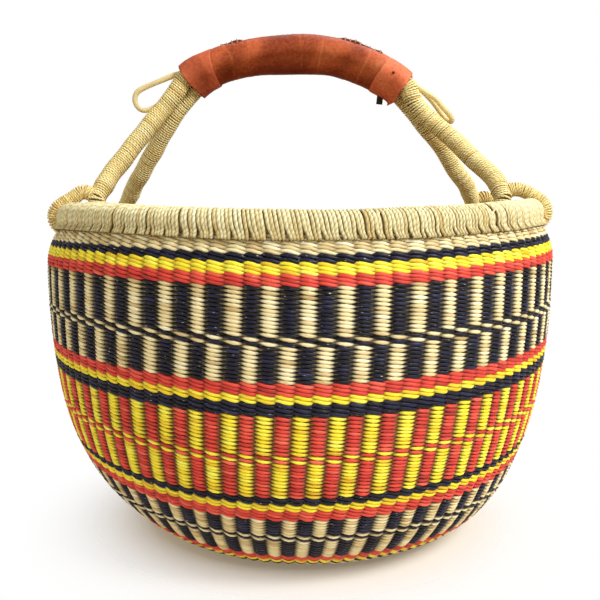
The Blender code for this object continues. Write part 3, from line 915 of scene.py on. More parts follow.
@dataclass(frozen=True)
class Wall:
    """The wall's bands and the stakes that they are woven round."""

    weave: Weave
    stake_half_width: float = 0.0046
    stake_half_thick: float = 0.00040
    stake_share: float = 0.42
    stake_starts: tuple[float, float] = (-0.060, -0.030)
    top_gap: float = 0.001

    def build(self) -> None:
        """Weave every band, then stand the stakes inside."""
        start = 0
        for band in BANDS:
            band.build(self.weave, start)
            start += band.rows
        self.build_stakes()

    def build_stakes(self) -> None:
        """Flat stakes up the wall's middle surface, one at each turn u 360 / stakes. They start
        on the base, and every other one starts further in."""
        bowl = self.weave.bowl
        skin, section = Skin(), ring(4)
        for first, low in enumerate(self.stake_starts):
            stake = np.arange(first, bowl.stakes, 2)
            arc = np.linspace(low, bowl.length - self.top_gap, 32)
            radius = np.interp(arc, bowl.middle[:, 0], bowl.middle[:, 1])
            turn = TAU / bowl.stakes * (stake[:, None] + bowl.lean(arc)[None])
            width = np.minimum(self.stake_half_width,
                               self.stake_share * TAU * radius / bowl.stakes)
            turns = turn[..., None] + (width / radius)[None, :, None] * np.cos(section)
            outs = np.broadcast_to(self.stake_half_thick * np.sin(section), turns.shape)
            rings = bowl.spot(np.broadcast_to(arc[None, :, None], turns.shape), turns, outs)
            # Painted shade: the stakes get a low shade of 0.4, so they show dark through the gaps
            # of the weave.
            skin.add(rings[:, :, ::-1], arc, np.arange(5) * 0.001, 0.0, 0.4)
        show("stakes", skin, Finish.GRASS, "grass_core")


@dataclass(frozen=True)
class Base:
    """The flat base: rows of weave round a start of crossed bundles."""

    weave: Weave
    disc_radius: float = 0.0220
    disc_overlap: float = 0.0006
    bundle_pitch: float = 0.0044
    bundle_half_width: float = 0.0019
    bundle_half_thick: float = 0.0012
    bundle_swing: float = 0.0011
    zones: tuple[tuple[str, int, float, float], ...] = (
        ("outer", 112, 0.092, 1.0), ("middle", 56, 0.048, 0.092), ("inner", 28, 0.0, 0.048))

    def build(self) -> None:
        """Weave the base's rows, in zones of name, stakes, least and largest radius, then its
        start."""
        bowl = self.weave.bowl
        weave = replace(self.weave, sides=4)
        rows = -1 - np.arange(round((bowl.base_radius - self.disc_radius) / bowl.pitch))
        radius = bowl.base_radius + (rows + 0.5) * bowl.pitch
        for name, stakes, low, high in self.zones:
            skin = Skin()
            chosen = rows[(radius >= low) & (radius < high)]
            for first in (0, 1):
                weave.strands(skin, chosen, 0 * chosen, first, stakes, 900 + stakes + first)
            show(f"base_rows_{name}", skin, Finish.NATURAL, "natural", "base_weave")
        self.build_start()

    def build_start(self) -> None:
        """Crossed bundles: those along X pass over and under those along Y, so each is a chord
        of the disc whose height is h cos(pi x / p + pi k) at the distance x along it."""
        skin, section = Skin(), ring(8)
        reach = int(self.disc_radius / self.bundle_pitch)
        middle = self.weave.bowl.wall / 2
        for sign in (1.0, -1.0):
            for k in range(-reach, reach + 1):
                offset = k * self.bundle_pitch
                half = math.sqrt((self.disc_radius + self.disc_overlap) ** 2 - offset ** 2)
                along = np.linspace(-half, half, 41)
                wave = sign * np.cos(np.pi * along / self.bundle_pitch + np.pi * k)[:, None]
                across = offset + self.bundle_half_width * np.cos(section) + 0 * wave
                level = (middle + self.bundle_swing * wave
                         + self.bundle_half_thick * np.sin(section))
                far = np.broadcast_to(along[:, None], level.shape)
                rings = np.stack([far, across, level] if sign > 0 else [-across, far, level], -1)
                skin.add(rings[None], along, np.arange(9) * 0.0008 + 0.013 * k,
                         0.5 * math.sin(5.1 * k + sign), 0.9)
        show("base_start", skin, Finish.NATURAL, "natural", "base_start_disc")


def wound(turns: int, per_turn: int) -> tuple[Array, Array, Array]:
    """Even steps along turns of cord.

    Args:
        turns: how many turns there are.
        per_turn: steps in a turn.
    Returns:
        For each step, how many turns it has behind it, which turn it is on, and its share of
        that turn.
    """
    share = np.arange(turns * per_turn + 1) / per_turn
    number = np.minimum(share.astype(int), turns - 1)
    return share, number, share - number


def loose_lay(chance: np.random.Generator, number: Array, part: Array,
              most: float = 0.0040) -> Array:
    """A random shift of the lay for each turn of cord, so that neighbours' plies do not line
    up: o_n (1 - part) + o_(n + 1) part.

    Args:
        chance: source of the random numbers.
        number: which turn each point is on.
        part: share of that turn behind each point.
        most: largest shift, in metres.
    Returns:
        Each point's shift, in metres.
    """
    shift = chance.uniform(0.0, most, number[-1] + 2)
    return shift[number] * (1 - part) + shift[number + 1] * part


@dataclass(frozen=True)
class RimRoll:
    """The roll along the rim: a bundle of stake ends under close turns of two-ply cord, which
    come down over the wall's top and go in through it between the stakes.

    `splices` are the places, in stakes from the front, where a new cord starts and the turns
    stand apart, each by its value in `gaps`. `denser` and `swings` are read over a turn's share.
    """

    bowl: Bowl
    roll: float = 0.0086
    cord: float = 0.00128
    bundle: float = 0.0079
    grip_depth: float = 0.0089
    raised: float = 0.0006
    turns_per_stake: int = 4
    per_turn: int = 36
    sides: int = 6
    gather: float = 0.24
    gather_reach: float = 0.17
    lean: float = 0.44
    lean_change: float = 0.14
    uneven_roll: float = 0.022
    uneven_cord: float = 0.06
    uneven_place: float = 0.022
    turn_tone: float = 0.6
    # Painted shade towards the low ends of the turns, under the roll: in the tone and in the shade.
    low_tone: float = 1.1
    low_shade: float = 0.38
    splice_tone: float = 1.4
    splice_place: float = 0.16
    splice_width: float = 0.15
    splice_reach: float = 0.8
    groove_shade: float = 0.04
    grip_levels: tuple[float, float] = (1.0, 0.52)
    inside_level: float = 0.97
    outside_gap: float = 1.15
    inside_gap: float = 1.6
    denser: tuple = ((0.0, 0.52, 1.0), (0.0, 0.72, 1.0))
    swings: tuple = ((0.0, 0.38, 0.50, 1.0), (0.5, -0.42, -0.42, 0.5))
    splices: tuple = (-47.0, -38.2, -31.5, -24.4, -18.0, -11.98, -9.21, -6.98, -6.47, 3.58, 4.42,
                      12.65, 13.7, 19.5, 27.1, 33.8, 42.3, 51.0)
    gaps: tuple = (0.08, 0.05, 0.12, 0.06, 0.04, 0.07, 0.04, 0.09, 0.04, 0.05, 0.04,
                   0.15, 0.07, 0.05, 0.11, 0.05, 0.09, 0.06)

    def build(self) -> None:
        """Wind the cord in four quarters, and lay the bundle inside."""
        turns = self.bowl.stakes * self.turns_per_stake
        for number, name in enumerate(("back_left", "front_left", "front_right", "back_right")):
            first = -turns // 2 + number * turns // 4
            self.build_cord(f"rim_cord_{name}", first, first + turns // 4)
        self.build_bundle()

    @cached_property
    def loop(self) -> tuple[Array, Array]:
        """One turn of cord. It leaves the wall at grip_depth under the roll's middle, follows
        the wall's slope up, goes over the roll on a circle, and meets the wall again from
        inside. The gaps to the wall are counted in radii of the cord, the levels in grip depths.

        Returns:
            Distances along the turn, and rows of radius, level and outward normal, from the
            roll's middle.
        """
        bowl = self.bowl
        levels = bowl.rim_level - self.grip_depth * np.array(self.grip_levels)
        wall = np.interp(levels, bowl.outer[2], bowl.outer[1]) - bowl.rim_radius
        angle = np.radians(np.arange(2, 272, 30))
        circle = self.roll * np.stack([np.cos(angle), np.sin(angle)], -1)
        outside = np.stack([wall + self.cord * self.outside_gap, levels - bowl.rim_level], -1)
        inside = np.array([[wall[0] - bowl.wall - self.inside_gap * self.cord,
                            -self.grip_depth * self.inside_level]])
        line = smooth_route(np.vstack([outside, circle, inside, outside[:1]]), 30)
        length = travelled(line)
        heading = unit(np.gradient(line, length, axis=0))
        return length, np.column_stack([line, heading[:, 1], -heading[:, 0]])

    def swell(self, turn: Array) -> Array:
        """The roll's uneven thickness round the rim, as a factor near 1."""
        unevenness = waves(11, 6, 1.0, 14.0 * np.sin(turn), 14.0 * np.cos(turn))
        return 1.0 + self.uneven_roll * unevenness

    def apart(self, stake: Array) -> Array:
        """Distance in stakes from each splice, the short way round."""
        apart = stake[..., None] - np.array(self.splices)
        return apart - np.round(apart / self.bowl.stakes) * self.bowl.stakes

    def spread(self, stake: Array) -> Array:
        """Where cord lies that would lie at `stake`: a little further from each splice,
        d + gap sign(d) exp(-|d| / reach) at the distance d from it, in stakes.

        Args:
            stake: places round the rim, in stakes.
        Returns:
            The places where the cord lies.
        """
        apart = self.apart(stake)
        push = np.array(self.gaps) * np.sign(apart) * np.exp(-np.abs(apart) / self.splice_reach)
        return stake + np.sum(push, -1)

    def build_cord(self, name: str, start: int, end: int) -> None:
        """Wind turns of cord.

        Turn j stands at u = j / turns_per_stake stakes. Its distance d from the middle of its
        stake's group shrinks to d (1 - gather b) where it goes through the wall, where b rises
        to 1 over the last share gather_reach of the turn. On the outside the cord leans evenly
        by `lean` stakes to the left on its way up, and on the inside it comes back.

        Args:
            name: the piece's name.
            start: first turn.
            end: turn after the last one.
        """
        chance = np.random.default_rng(5000 + start)
        bowl, n = self.bowl, self.turns_per_stake
        length, table = self.loop
        dense = np.interp(np.linspace(0, 1, 400), *self.denser)
        _, number, part = wound(end - start, self.per_turn)
        part = np.interp(part, dense, np.linspace(0, 1, 400))
        row = read(part * length[-1], length, table)
        reach = self.gather_reach
        low = 1 - ease(0.0, reach, part) + ease(1 - reach, 1.0, part)
        jitter = chance.normal(0.0, self.uneven_place, end - start + 2)
        spot = []
        for step in (0, 1):
            j = start + number + step
            group = np.floor(j / n) + 0.5
            apart = (j + 0.5) / n - group
            spot.append(group + apart * (1 - self.gather * low) + jitter[number + step])
        u = self.spread(spot[0] * (1 - part) + spot[1] * part)
        own = u * TAU / bowl.stakes
        tip = self.lean + self.lean_change * waves(17, 4, 1.0, 9 * np.sin(own), 9 * np.cos(own))
        near = np.sum(
            np.exp(-((self.apart(u) - self.splice_place) / self.splice_width) ** 2), -1)
        u = u + tip * np.interp(part, *self.swings)
        turn = TAU / bowl.stakes * (u + bowl.lean(np.array(bowl.length)) - 0.5)
        section = ring(self.sides)
        thick = self.cord * (1 + chance.normal(0, self.uneven_cord, end - start)[number])[:, None]
        swell = self.swell(turn)[:, None]
        radius = row[:, :1] * swell + row[:, 2:3] * thick * np.cos(section) + bowl.rim_radius
        level = row[:, 1:2] * swell + row[:, 3:4] * thick * np.cos(section) + bowl.rim_level
        level = level + bowl.lift(1.0 + 0 * turn, turn)[:, None] + self.raised
        turns = turn[:, None] + thick * np.sin(section) / bowl.rim_radius
        tone = chance.normal(0.0, self.turn_tone, end - start)[number]
        # Painted shade: each turn gets darker and browner towards its low ends, where it runs under
        # the roll to the wall, through its tone (low_tone) and its shade (low_shade).
        tone = tone - self.low_tone * low ** 1.5 - self.splice_tone * near
        open_side = np.clip(np.cos(section), 0, 1) ** 0.75
        shade = (self.groove_shade + (1 - self.groove_shade) * open_side)[None] * (
            1 - self.low_shade * low[:, None])
        skin = Skin()
        skin.add(around_axis(radius, turns, level)[None],
                 (number + part) * length[-1] + loose_lay(chance, number, part),
                 np.linspace(0.0, CORD_GIRTH, self.sides + 1), tone[None, :, None], shade[None])
        show(name, skin, Finish.RIM_CORD, "rim_cord", "rim_wrap")

    def build_bundle(self) -> None:
        """The bundle: a ring whose section is the circle (bundle cos a, bundle sin a)."""
        bowl, steps, sides = self.bowl, 224, 20
        angle = -ring(sides)
        turn = np.broadcast_to(ring(steps)[:, None], (steps, sides))
        reach = self.bundle * self.swell(turn)
        radius = bowl.rim_radius + reach * np.cos(angle)
        level = bowl.rim_level + reach * np.sin(angle) + bowl.lift(1 + 0 * turn, turn)
        along = np.linspace(0.0, TAU * bowl.rim_radius, steps + 1)
        skin = Skin()
        # Painted shade: the bundle gets a low shade of 0.3, so it shows dark between the turns.
        skin.add(around_axis(radius, turn, level)[None], along, np.arange(sides + 1) * 0.0025,
                 0.0, 0.3, closed=True)
        show("rim_bundle", skin, Finish.GRASS, "grass_core", "rim_core")


@dataclass(frozen=True)
class Winding:
    """Cord wound close round a path.

    The cord's middle is P(s) + r (cos a first + sin a second), with the angle a turning once for
    each pitch of s. Up to `narrow_to` r is less by `narrow`, and it is full from `full_at`.
    """

    path: Path
    start: float
    end: float
    radius: float
    cord: float
    pitch: float
    per_turn: int = 32
    sides: int = 6
    tilt: float = 0.0
    narrow: float = 0.0
    narrow_to: float = 0.0
    full_at: float = 1.0
    tone: float = 0.0
    uneven_place: float = 0.10
    uneven_radius: float = 0.03
    turn_tone: float = 0.7
    groove_shade: float = 0.16
    seed: int = 1

    def lay(self, skin: Skin) -> None:
        """Add the cord to a skin: a tube round the wound line, whose turns lie a little
        unevenly, at place + o_n (1 - part) + o_(n + 1) part.

        Args:
            skin: receives the cord.
        """
        chance = np.random.default_rng(self.seed)
        turns = max(1, round((self.end - self.start) / self.pitch))
        share, number, part = wound(turns, self.per_turn)
        jitter = np.concatenate(
            [[0.0], chance.normal(0.0, self.uneven_place, turns - 1), [0.0]])
        place = share + jitter[number] * (1 - part) + jitter[number + 1] * part
        s = self.start + (self.end - self.start) * place / turns
        angle = share * TAU
        s = np.clip(s + self.tilt * np.sin(angle), 0.0, self.path.length)
        middle, first, second, tangent = self.path.at(s)
        outward = first * np.cos(angle)[:, None] + second * np.sin(angle)[:, None]
        swell = 1.0 + self.uneven_radius * waves(self.seed + 50, 4, 1.0, s * 260.0,
                                                 2 * np.sin(angle))
        reach = self.radius * swell - self.narrow * (1 - ease(self.narrow_to, self.full_at, s))
        centre = middle + outward * reach[:, None]
        section = ring(self.sides)[:, None]
        rings = centre[:, None] + self.cord * (
            outward[:, None] * np.cos(section) - tangent[:, None] * np.sin(section))
        tone = self.tone + chance.normal(0.0, self.turn_tone, turns)[number]
        shade = self.groove_shade + (1 - self.groove_shade) * np.clip(np.cos(section[:, 0]), 0, 1)
        skin.add(rings[None], share * TAU * self.radius + loose_lay(chance, number, part),
                 np.linspace(0.0, CORD_GIRTH, self.sides + 1), tone[None, :, None], shade)


def tube(skin: Skin, path: Path, radius: Array | float, sides: int, steps: int,
         tone: float = 0.0, shade: Array | float = 0.6, facet: float = 0.0015) -> None:
    """A round tube: P(s) + r (cos a first + sin a second).

    Args:
        skin: receives the tube.
        path: its middle line.
        radius: its radius, broadcast to (steps, sides).
        sides: points round it.
        steps: rings along it.
        tone: its tone.
        shade: its openness, broadcast like the radius.
        facet: how far the lay goes on from point to point round it.
    """
    s = np.linspace(0.0, path.length, steps)
    middle, first, second, _ = path.at(s)
    angle = ring(sides)[:, None]
    reach = np.broadcast_to(radius, (steps, sides))[..., None]
    rings = middle[:, None] + reach * (first[:, None] * np.cos(angle)
                                       + second[:, None] * np.sin(angle))
    skin.add(rings[None], s, np.arange(sides + 1) * facet, tone, shade)


class Side(IntEnum):
    """Front or back bundle of the handle, as the sign of its Y."""

    FRONT = -1
    BACK = 1


class Hand(IntEnum):
    """Left or right end of the handle, seen from the front."""

    LEFT = 0
    RIGHT = 1


@dataclass(frozen=True)
class Handle:
    """The handle's two arches: their middle lines, winding, feet and bindings.

    The back left foot is bound lower than the others and sits deeper in the roll. Where a field
    holds a value for each foot, its rows are front and back and its columns left and right.
    `shares` are the points that the middle line goes through, left to right: x, height, lift
    and spread, as shares of the half width, `rise`, `bundle_lift` and `foot_spread`.
    """

    bowl: Bowl
    foot_inset: float = 0.0243
    foot_height: float = 0.0195
    rise: float = 0.1200
    bundle_lift: float = 0.0062
    foot_spread: float = 0.0500
    leg_radius: float = 0.0075
    core_radius: float = 0.0050
    outer_foot_radius: float = 0.0050
    foot_narrow: float = 0.0014
    hidden_narrow: float = 0.0008
    fork: tuple[float, float] = (0.0055, 0.0150)
    foot_branch: tuple = ((0.0016, 0.0052), (0.0016, 0.0008))
    foot_arch: tuple = ((0.0002, 0.0016), (0.0, -0.0004))
    foot_clear: float = 0.0012
    foot_seat: float = 0.0099
    foot_tuck: float = -0.80
    foot_pull: float = 0.10
    foot_sink: float = 0.0034
    hidden_drop: float = 0.0125
    hidden_sink: float = 0.0062
    inner_drop: float = 0.0330
    inner_lead: float = 0.0100
    inner_clear: float = 0.0020
    cord: float = 0.00092
    pitch: float = 0.00190
    leg_tone: tuple = ((0.25, 0.1), (0.6, -0.1))
    winding_start: float = 0.0010
    winding_tilt: float = 0.0010
    under_grip: float = 0.0100
    core_gap: float = 0.0001
    core_narrow: float = 0.0007
    foot_cord: float = 0.00085
    foot_pitch: float = 0.00158
    foot_tone: float = -0.7
    foot_step: float = 0.0023
    foot_bundle_gap: float = 0.0006
    foot_cord_sink: float = 0.0002
    foot_end_gap: float = 0.0005
    binding_cord: float = 0.00090
    binding_tilt: float = 0.0004
    binding_reach: float = 0.0300
    binding: tuple[float, float] = (-0.0040, 0.0100)
    hidden_binding: tuple[float, float] = (-0.0050, 0.0006)
    grip_start: float = 0.1180
    grip_length: float = 0.1880
    gap: float = 0.0003
    shares: tuple = (
        (-0.979, 0.000, 0.10, 1.000), (-0.924, 0.133, 0.45, 0.720),
        (-0.867, 0.248, 0.60, 0.520), (-0.724, 0.525, 0.65, 0.205),
        (-0.6435, 0.6675, 0.55, 0.140), (-0.551, 0.819, 0.80, 0.125),
        (-0.453, 0.896, 0.57, 0.118), (-0.331, 0.9535, 0.58, 0.112),
        (-0.1955, 0.9825, 0.70, 0.104), (-0.050, 0.994, 0.93, 0.100),
        (0.109, 0.992, 0.79, 0.108), (0.250, 0.952, 0.74, 0.120),
        (0.381, 0.882, 0.64, 0.135), (0.516, 0.772, 0.52, 0.148),
        (0.583, 0.645, 0.17, 0.158), (0.658, 0.538, 0.25, 0.175),
        (0.762, 0.400, 0.36, 0.300), (0.849, 0.257, 0.50, 0.500),
        (0.938, 0.122, 0.42, 0.760), (0.974, 0.004, 0.10, 1.000))

    @cached_property
    def route(self) -> tuple[Array, Array]:
        """The handle's middle line.

        Returns:
            Distances along it, measured in the XZ plane, and rows of x, z, lift and spread.
        """
        half = self.bowl.rim_radius - self.foot_inset
        foot = self.bowl.rim_level + self.foot_height
        scale = np.array([half, self.rise, self.bundle_lift, self.foot_spread])
        controls = np.array(self.shares) * scale + np.array([0.0, foot, 0.0, 0.0])
        rows = smooth_route(controls, 60)
        return travelled(rows[:, :2]), rows

    @cached_property
    def length(self) -> float:
        """Length of the handle's middle line."""
        return float(self.route[0][-1])

    def row(self, distance: Array) -> Array:
        """x, z, lift and spread at distances along the handle."""
        return read(distance, *self.route)

    def frame(self, distance: Array) -> tuple[Array, Array, Array]:
        """The middle line's frame, whose direction is the change of (x, 0, z).

        Args:
            distance: distances along the handle.
        Returns:
            Centre, direction and outward normal at each distance.
        """
        here = self.row(distance)
        step = self.length / 960
        change = self.row(distance + step) - self.row(distance - step)
        zero = 0 * here[..., 0]
        direction = unit(np.stack([change[..., 0], zero, change[..., 1]], -1))
        outward = np.stack([-direction[..., 2], zero, direction[..., 0]], -1)
        return np.stack([here[..., 0], zero, here[..., 1]], -1), direction, outward

    def arch(self, distance: Array, side: Side) -> Array:
        """Middle of one bundle: C - side lift N + side spread Y, with C and N the middle line's
        centre and outward normal.

        Args:
            distance: distances along the handle.
            side: which bundle.
        Returns:
            A point at each distance.
        """
        centre, _, outward = self.frame(distance)
        here = self.row(distance)
        return centre - side * here[..., 2:3] * outward + side * here[..., 3:4] * BACKWARD

    @staticmethod
    def of_foot(table: tuple[tuple[float, float], ...], side: Side, hand: Hand) -> float:
        """One foot's value in a field with a row for front and back."""
        return table[side is Side.BACK][hand]

    def hidden(self, side: Side, hand: Hand) -> bool:
        """Whether a foot is the back left one."""
        return side is Side.BACK and hand is Hand.LEFT

    def narrow(self, side: Side, hand: Hand) -> float:
        """How much thinner a leg is at its foot."""
        return self.hidden_narrow if self.hidden(side, hand) else self.foot_narrow

    def up_leg(self, side: Side, hand: Hand, reach: Array) -> Array:
        """Points up one leg, at reaches from its end along the handle."""
        return self.arch(self.length - reach if hand else reach, side)

    def leg(self, side: Side, hand: Hand, reach: float) -> tuple[Path, float]:
        """Path of one bundle from inside the rim up to a distance along the handle.

        Args:
            side: front or back bundle.
            hand: left or right end.
            reach: how far up the leg goes, in metres.
        Returns:
            The path, and the distance along it at which the leg meets its inner foot.
        """
        leg = self.up_leg(side, hand, np.linspace(0.0, reach, 160))
        path = Path(np.vstack([self.inner_foot(leg[0])[:0:-1], leg]), BACKWARD)
        return path, path.length - Path(leg, BACKWARD).length

    def plan(self, point: Array) -> tuple[float, Array, float]:
        """Where a point stands, seen from above.

        Args:
            point: the point.
        Returns:
            Its distance from the upright axis, the level direction to it from there, and the
            saddle's lift at its turn.
        """
        flat = math.hypot(point[0], point[1])
        lift = self.bowl.lift(1.0, math.atan2(point[0], -point[1]))
        return flat, point * [1.0, 1.0, 0.0] / flat, lift

    def inner_foot(self, start: Array) -> Array:
        """The way from a leg's foot down inside the rim to the wall: a smooth route straight
        down, inwards to a lead in front of the seat, and to the seat on the wall.

        Args:
            start: the leg's foot.
        Returns:
            Points, from the foot down.
        """
        bowl = self.bowl
        flat, direction, lift = self.plan(start)
        drop = start[2] - lift
        row = bowl.wall_row(np.interp(drop - self.inner_drop, bowl.outer[2], bowl.outer[0]))
        seat = row[:2] - row[2:] * (bowl.wall / 2 + self.inner_clear)
        lead = seat - row[2:] * self.inner_lead
        controls = np.array([
            [flat, drop], [flat, drop - self.inner_drop * 0.35],
            [flat + (lead[0] - flat) * 0.45, drop - self.inner_drop * 0.75], lead, seat])
        line = smooth_route(controls, 8)
        return line[:, :1] * direction + (line[:, 1:] + lift) * [0.0, 0.0, 1.0]

    def outer_foot(self, side: Side, hand: Hand) -> Path:
        """Path of the bundle that leaves a leg and bends over the roll, on the circle of radius
        seat + its own radius - sink round the roll's middle.

        Args:
            side: front or back bundle.
            hand: left or right end.
        Returns:
            The path, from inside the leg to the end under the roll.
        """
        bowl, hidden = self.bowl, self.hidden(side, hand)
        reach = np.array([0.0, self.foot_step]) + self.of_foot(self.foot_branch, side, hand)
        leg, above = self.up_leg(side, hand, reach) - [0.0, 0.0, self.hidden_drop * hidden]
        up_leg = unit(above - leg)
        radial = unit(leg * [1.0, 1.0, 0.0])
        out = unit(radial - up_leg * (radial @ up_leg))
        start = leg + out * (self.core_radius * 0.4)
        turn_off = leg + out * (self.core_radius + self.foot_clear + self.outer_foot_radius)
        flat, direction, lift = self.plan(turn_off)
        sink = self.hidden_sink if hidden else self.foot_sink
        bend = self.foot_seat + self.outer_foot_radius - sink
        across = flat - bowl.rim_radius
        rise = turn_off[2] - lift - bowl.rim_level
        first = math.atan2(rise, across) - math.acos(bend / math.hypot(across, rise))
        angle = np.linspace(first, self.foot_tuck, 14)
        bend = bend * (1.0 - self.foot_pull * ease(-0.1, self.foot_tuck, angle))
        radius = bowl.rim_radius + bend * np.cos(angle)
        level = bowl.rim_level + lift + bend * np.sin(angle)
        bent = radius[:, None] * direction + level[:, None] * [0.0, 0.0, 1.0]
        over = (turn_off + bent[0]) / 2 + [0.0, 0.0, self.of_foot(self.foot_arch, side, hand)]
        return Path(smooth_route(np.vstack([start, turn_off, over, bent]), 6),
                    np.cross(direction, [0.0, 0.0, 1.0]))

    def build(self) -> None:
        """Make both arches."""
        for side in Side:
            self.build_arch(side)
            for hand in Hand:
                name = f"{side.name}_{hand.name}".lower()
                self.build_binding(f"{name}_binding", side, hand)
                self.build_outer_foot(f"{name}_outer_foot", side, hand)

    def build_arch(self, side: Side) -> None:
        """One arch: its grass core, and cord wound from each inner foot up to the grip.

        Args:
            side: front or back arch.
        """
        cords, core, name = Skin(), Skin(), side.name.lower()
        far = self.length - self.grip_start - self.grip_length
        for hand, reach in zip(Hand, (self.grip_start, far)):
            path, foot = self.leg(side, hand, reach + self.under_grip)
            low, high = (foot + end for end in self.fork)
            thin = ease(low, high, np.linspace(0.0, path.length, 70))[:, None] - 1
            # Painted shade: the core takes the tube's default shade of 0.6, so it shows dark
            # between the turns.
            tube(core, path, self.core_radius - self.core_gap + self.core_narrow * thin, 16, 70)
            Winding(path, self.winding_start, path.length, self.leg_radius - self.cord,
                    self.cord, self.pitch, tilt=self.winding_tilt,
                    narrow=self.narrow(side, hand), narrow_to=low, full_at=high,
                    tone=self.of_foot(self.leg_tone, side, hand),
                    seed=20 + 2 * side + hand).lay(cords)
        show(f"{name}_arch_winding", cords, Finish.LEG_CORD, "leg_cord", f"{name}_arch_wrap")
        show(f"{name}_arch_grass", core, Finish.GRASS, "grass_core", f"{name}_arch_core")

    def build_binding(self, name: str, side: Side, hand: Hand) -> None:
        """Turns of cord that bind a leg's foot over its winding, where the outer foot leaves.

        Args:
            name: the solid's name.
            side: front or back bundle.
            hand: left or right end.
        """
        path, foot = self.leg(side, hand, self.binding_reach)
        hidden = self.hidden(side, hand)
        low, high = self.hidden_binding if hidden else self.binding
        skin = Skin()
        Winding(path, foot + low, foot + high, self.leg_radius, self.binding_cord, self.pitch,
                tilt=self.binding_tilt, narrow=self.narrow(side, hand),
                narrow_to=foot + self.fork[0], full_at=foot + self.fork[1],
                seed=7 + side + 2 * hand).lay(skin)
        finish = Finish.RIM_CORD if hidden else Finish.LEG_CORD
        show(name + "_cord", skin, finish, "leg_cord", name)

    def build_outer_foot(self, name: str, side: Side, hand: Hand) -> None:
        """One outer foot: a bundle under close turns of cord.

        Args:
            name: the solid's name.
            side: front or back bundle.
            hand: left or right end.
        """
        path = self.outer_foot(side, hand)
        skin = Skin()
        # Painted shade: the bundle under the turns gets a low shade of 0.25, so it shows dark
        # between them.
        tube(skin, path, self.outer_foot_radius - self.foot_bundle_gap, 10, 40, shade=0.25)
        Winding(path, self.foot_end_gap, path.length - self.foot_end_gap,
                self.outer_foot_radius - self.foot_cord_sink, self.foot_cord, self.foot_pitch,
                per_turn=24, tone=self.foot_tone, seed=60 + side + 2 * hand).lay(skin)
        show(name + "_bundle", skin, Finish.LEG_CORD, "leg_cord", name)


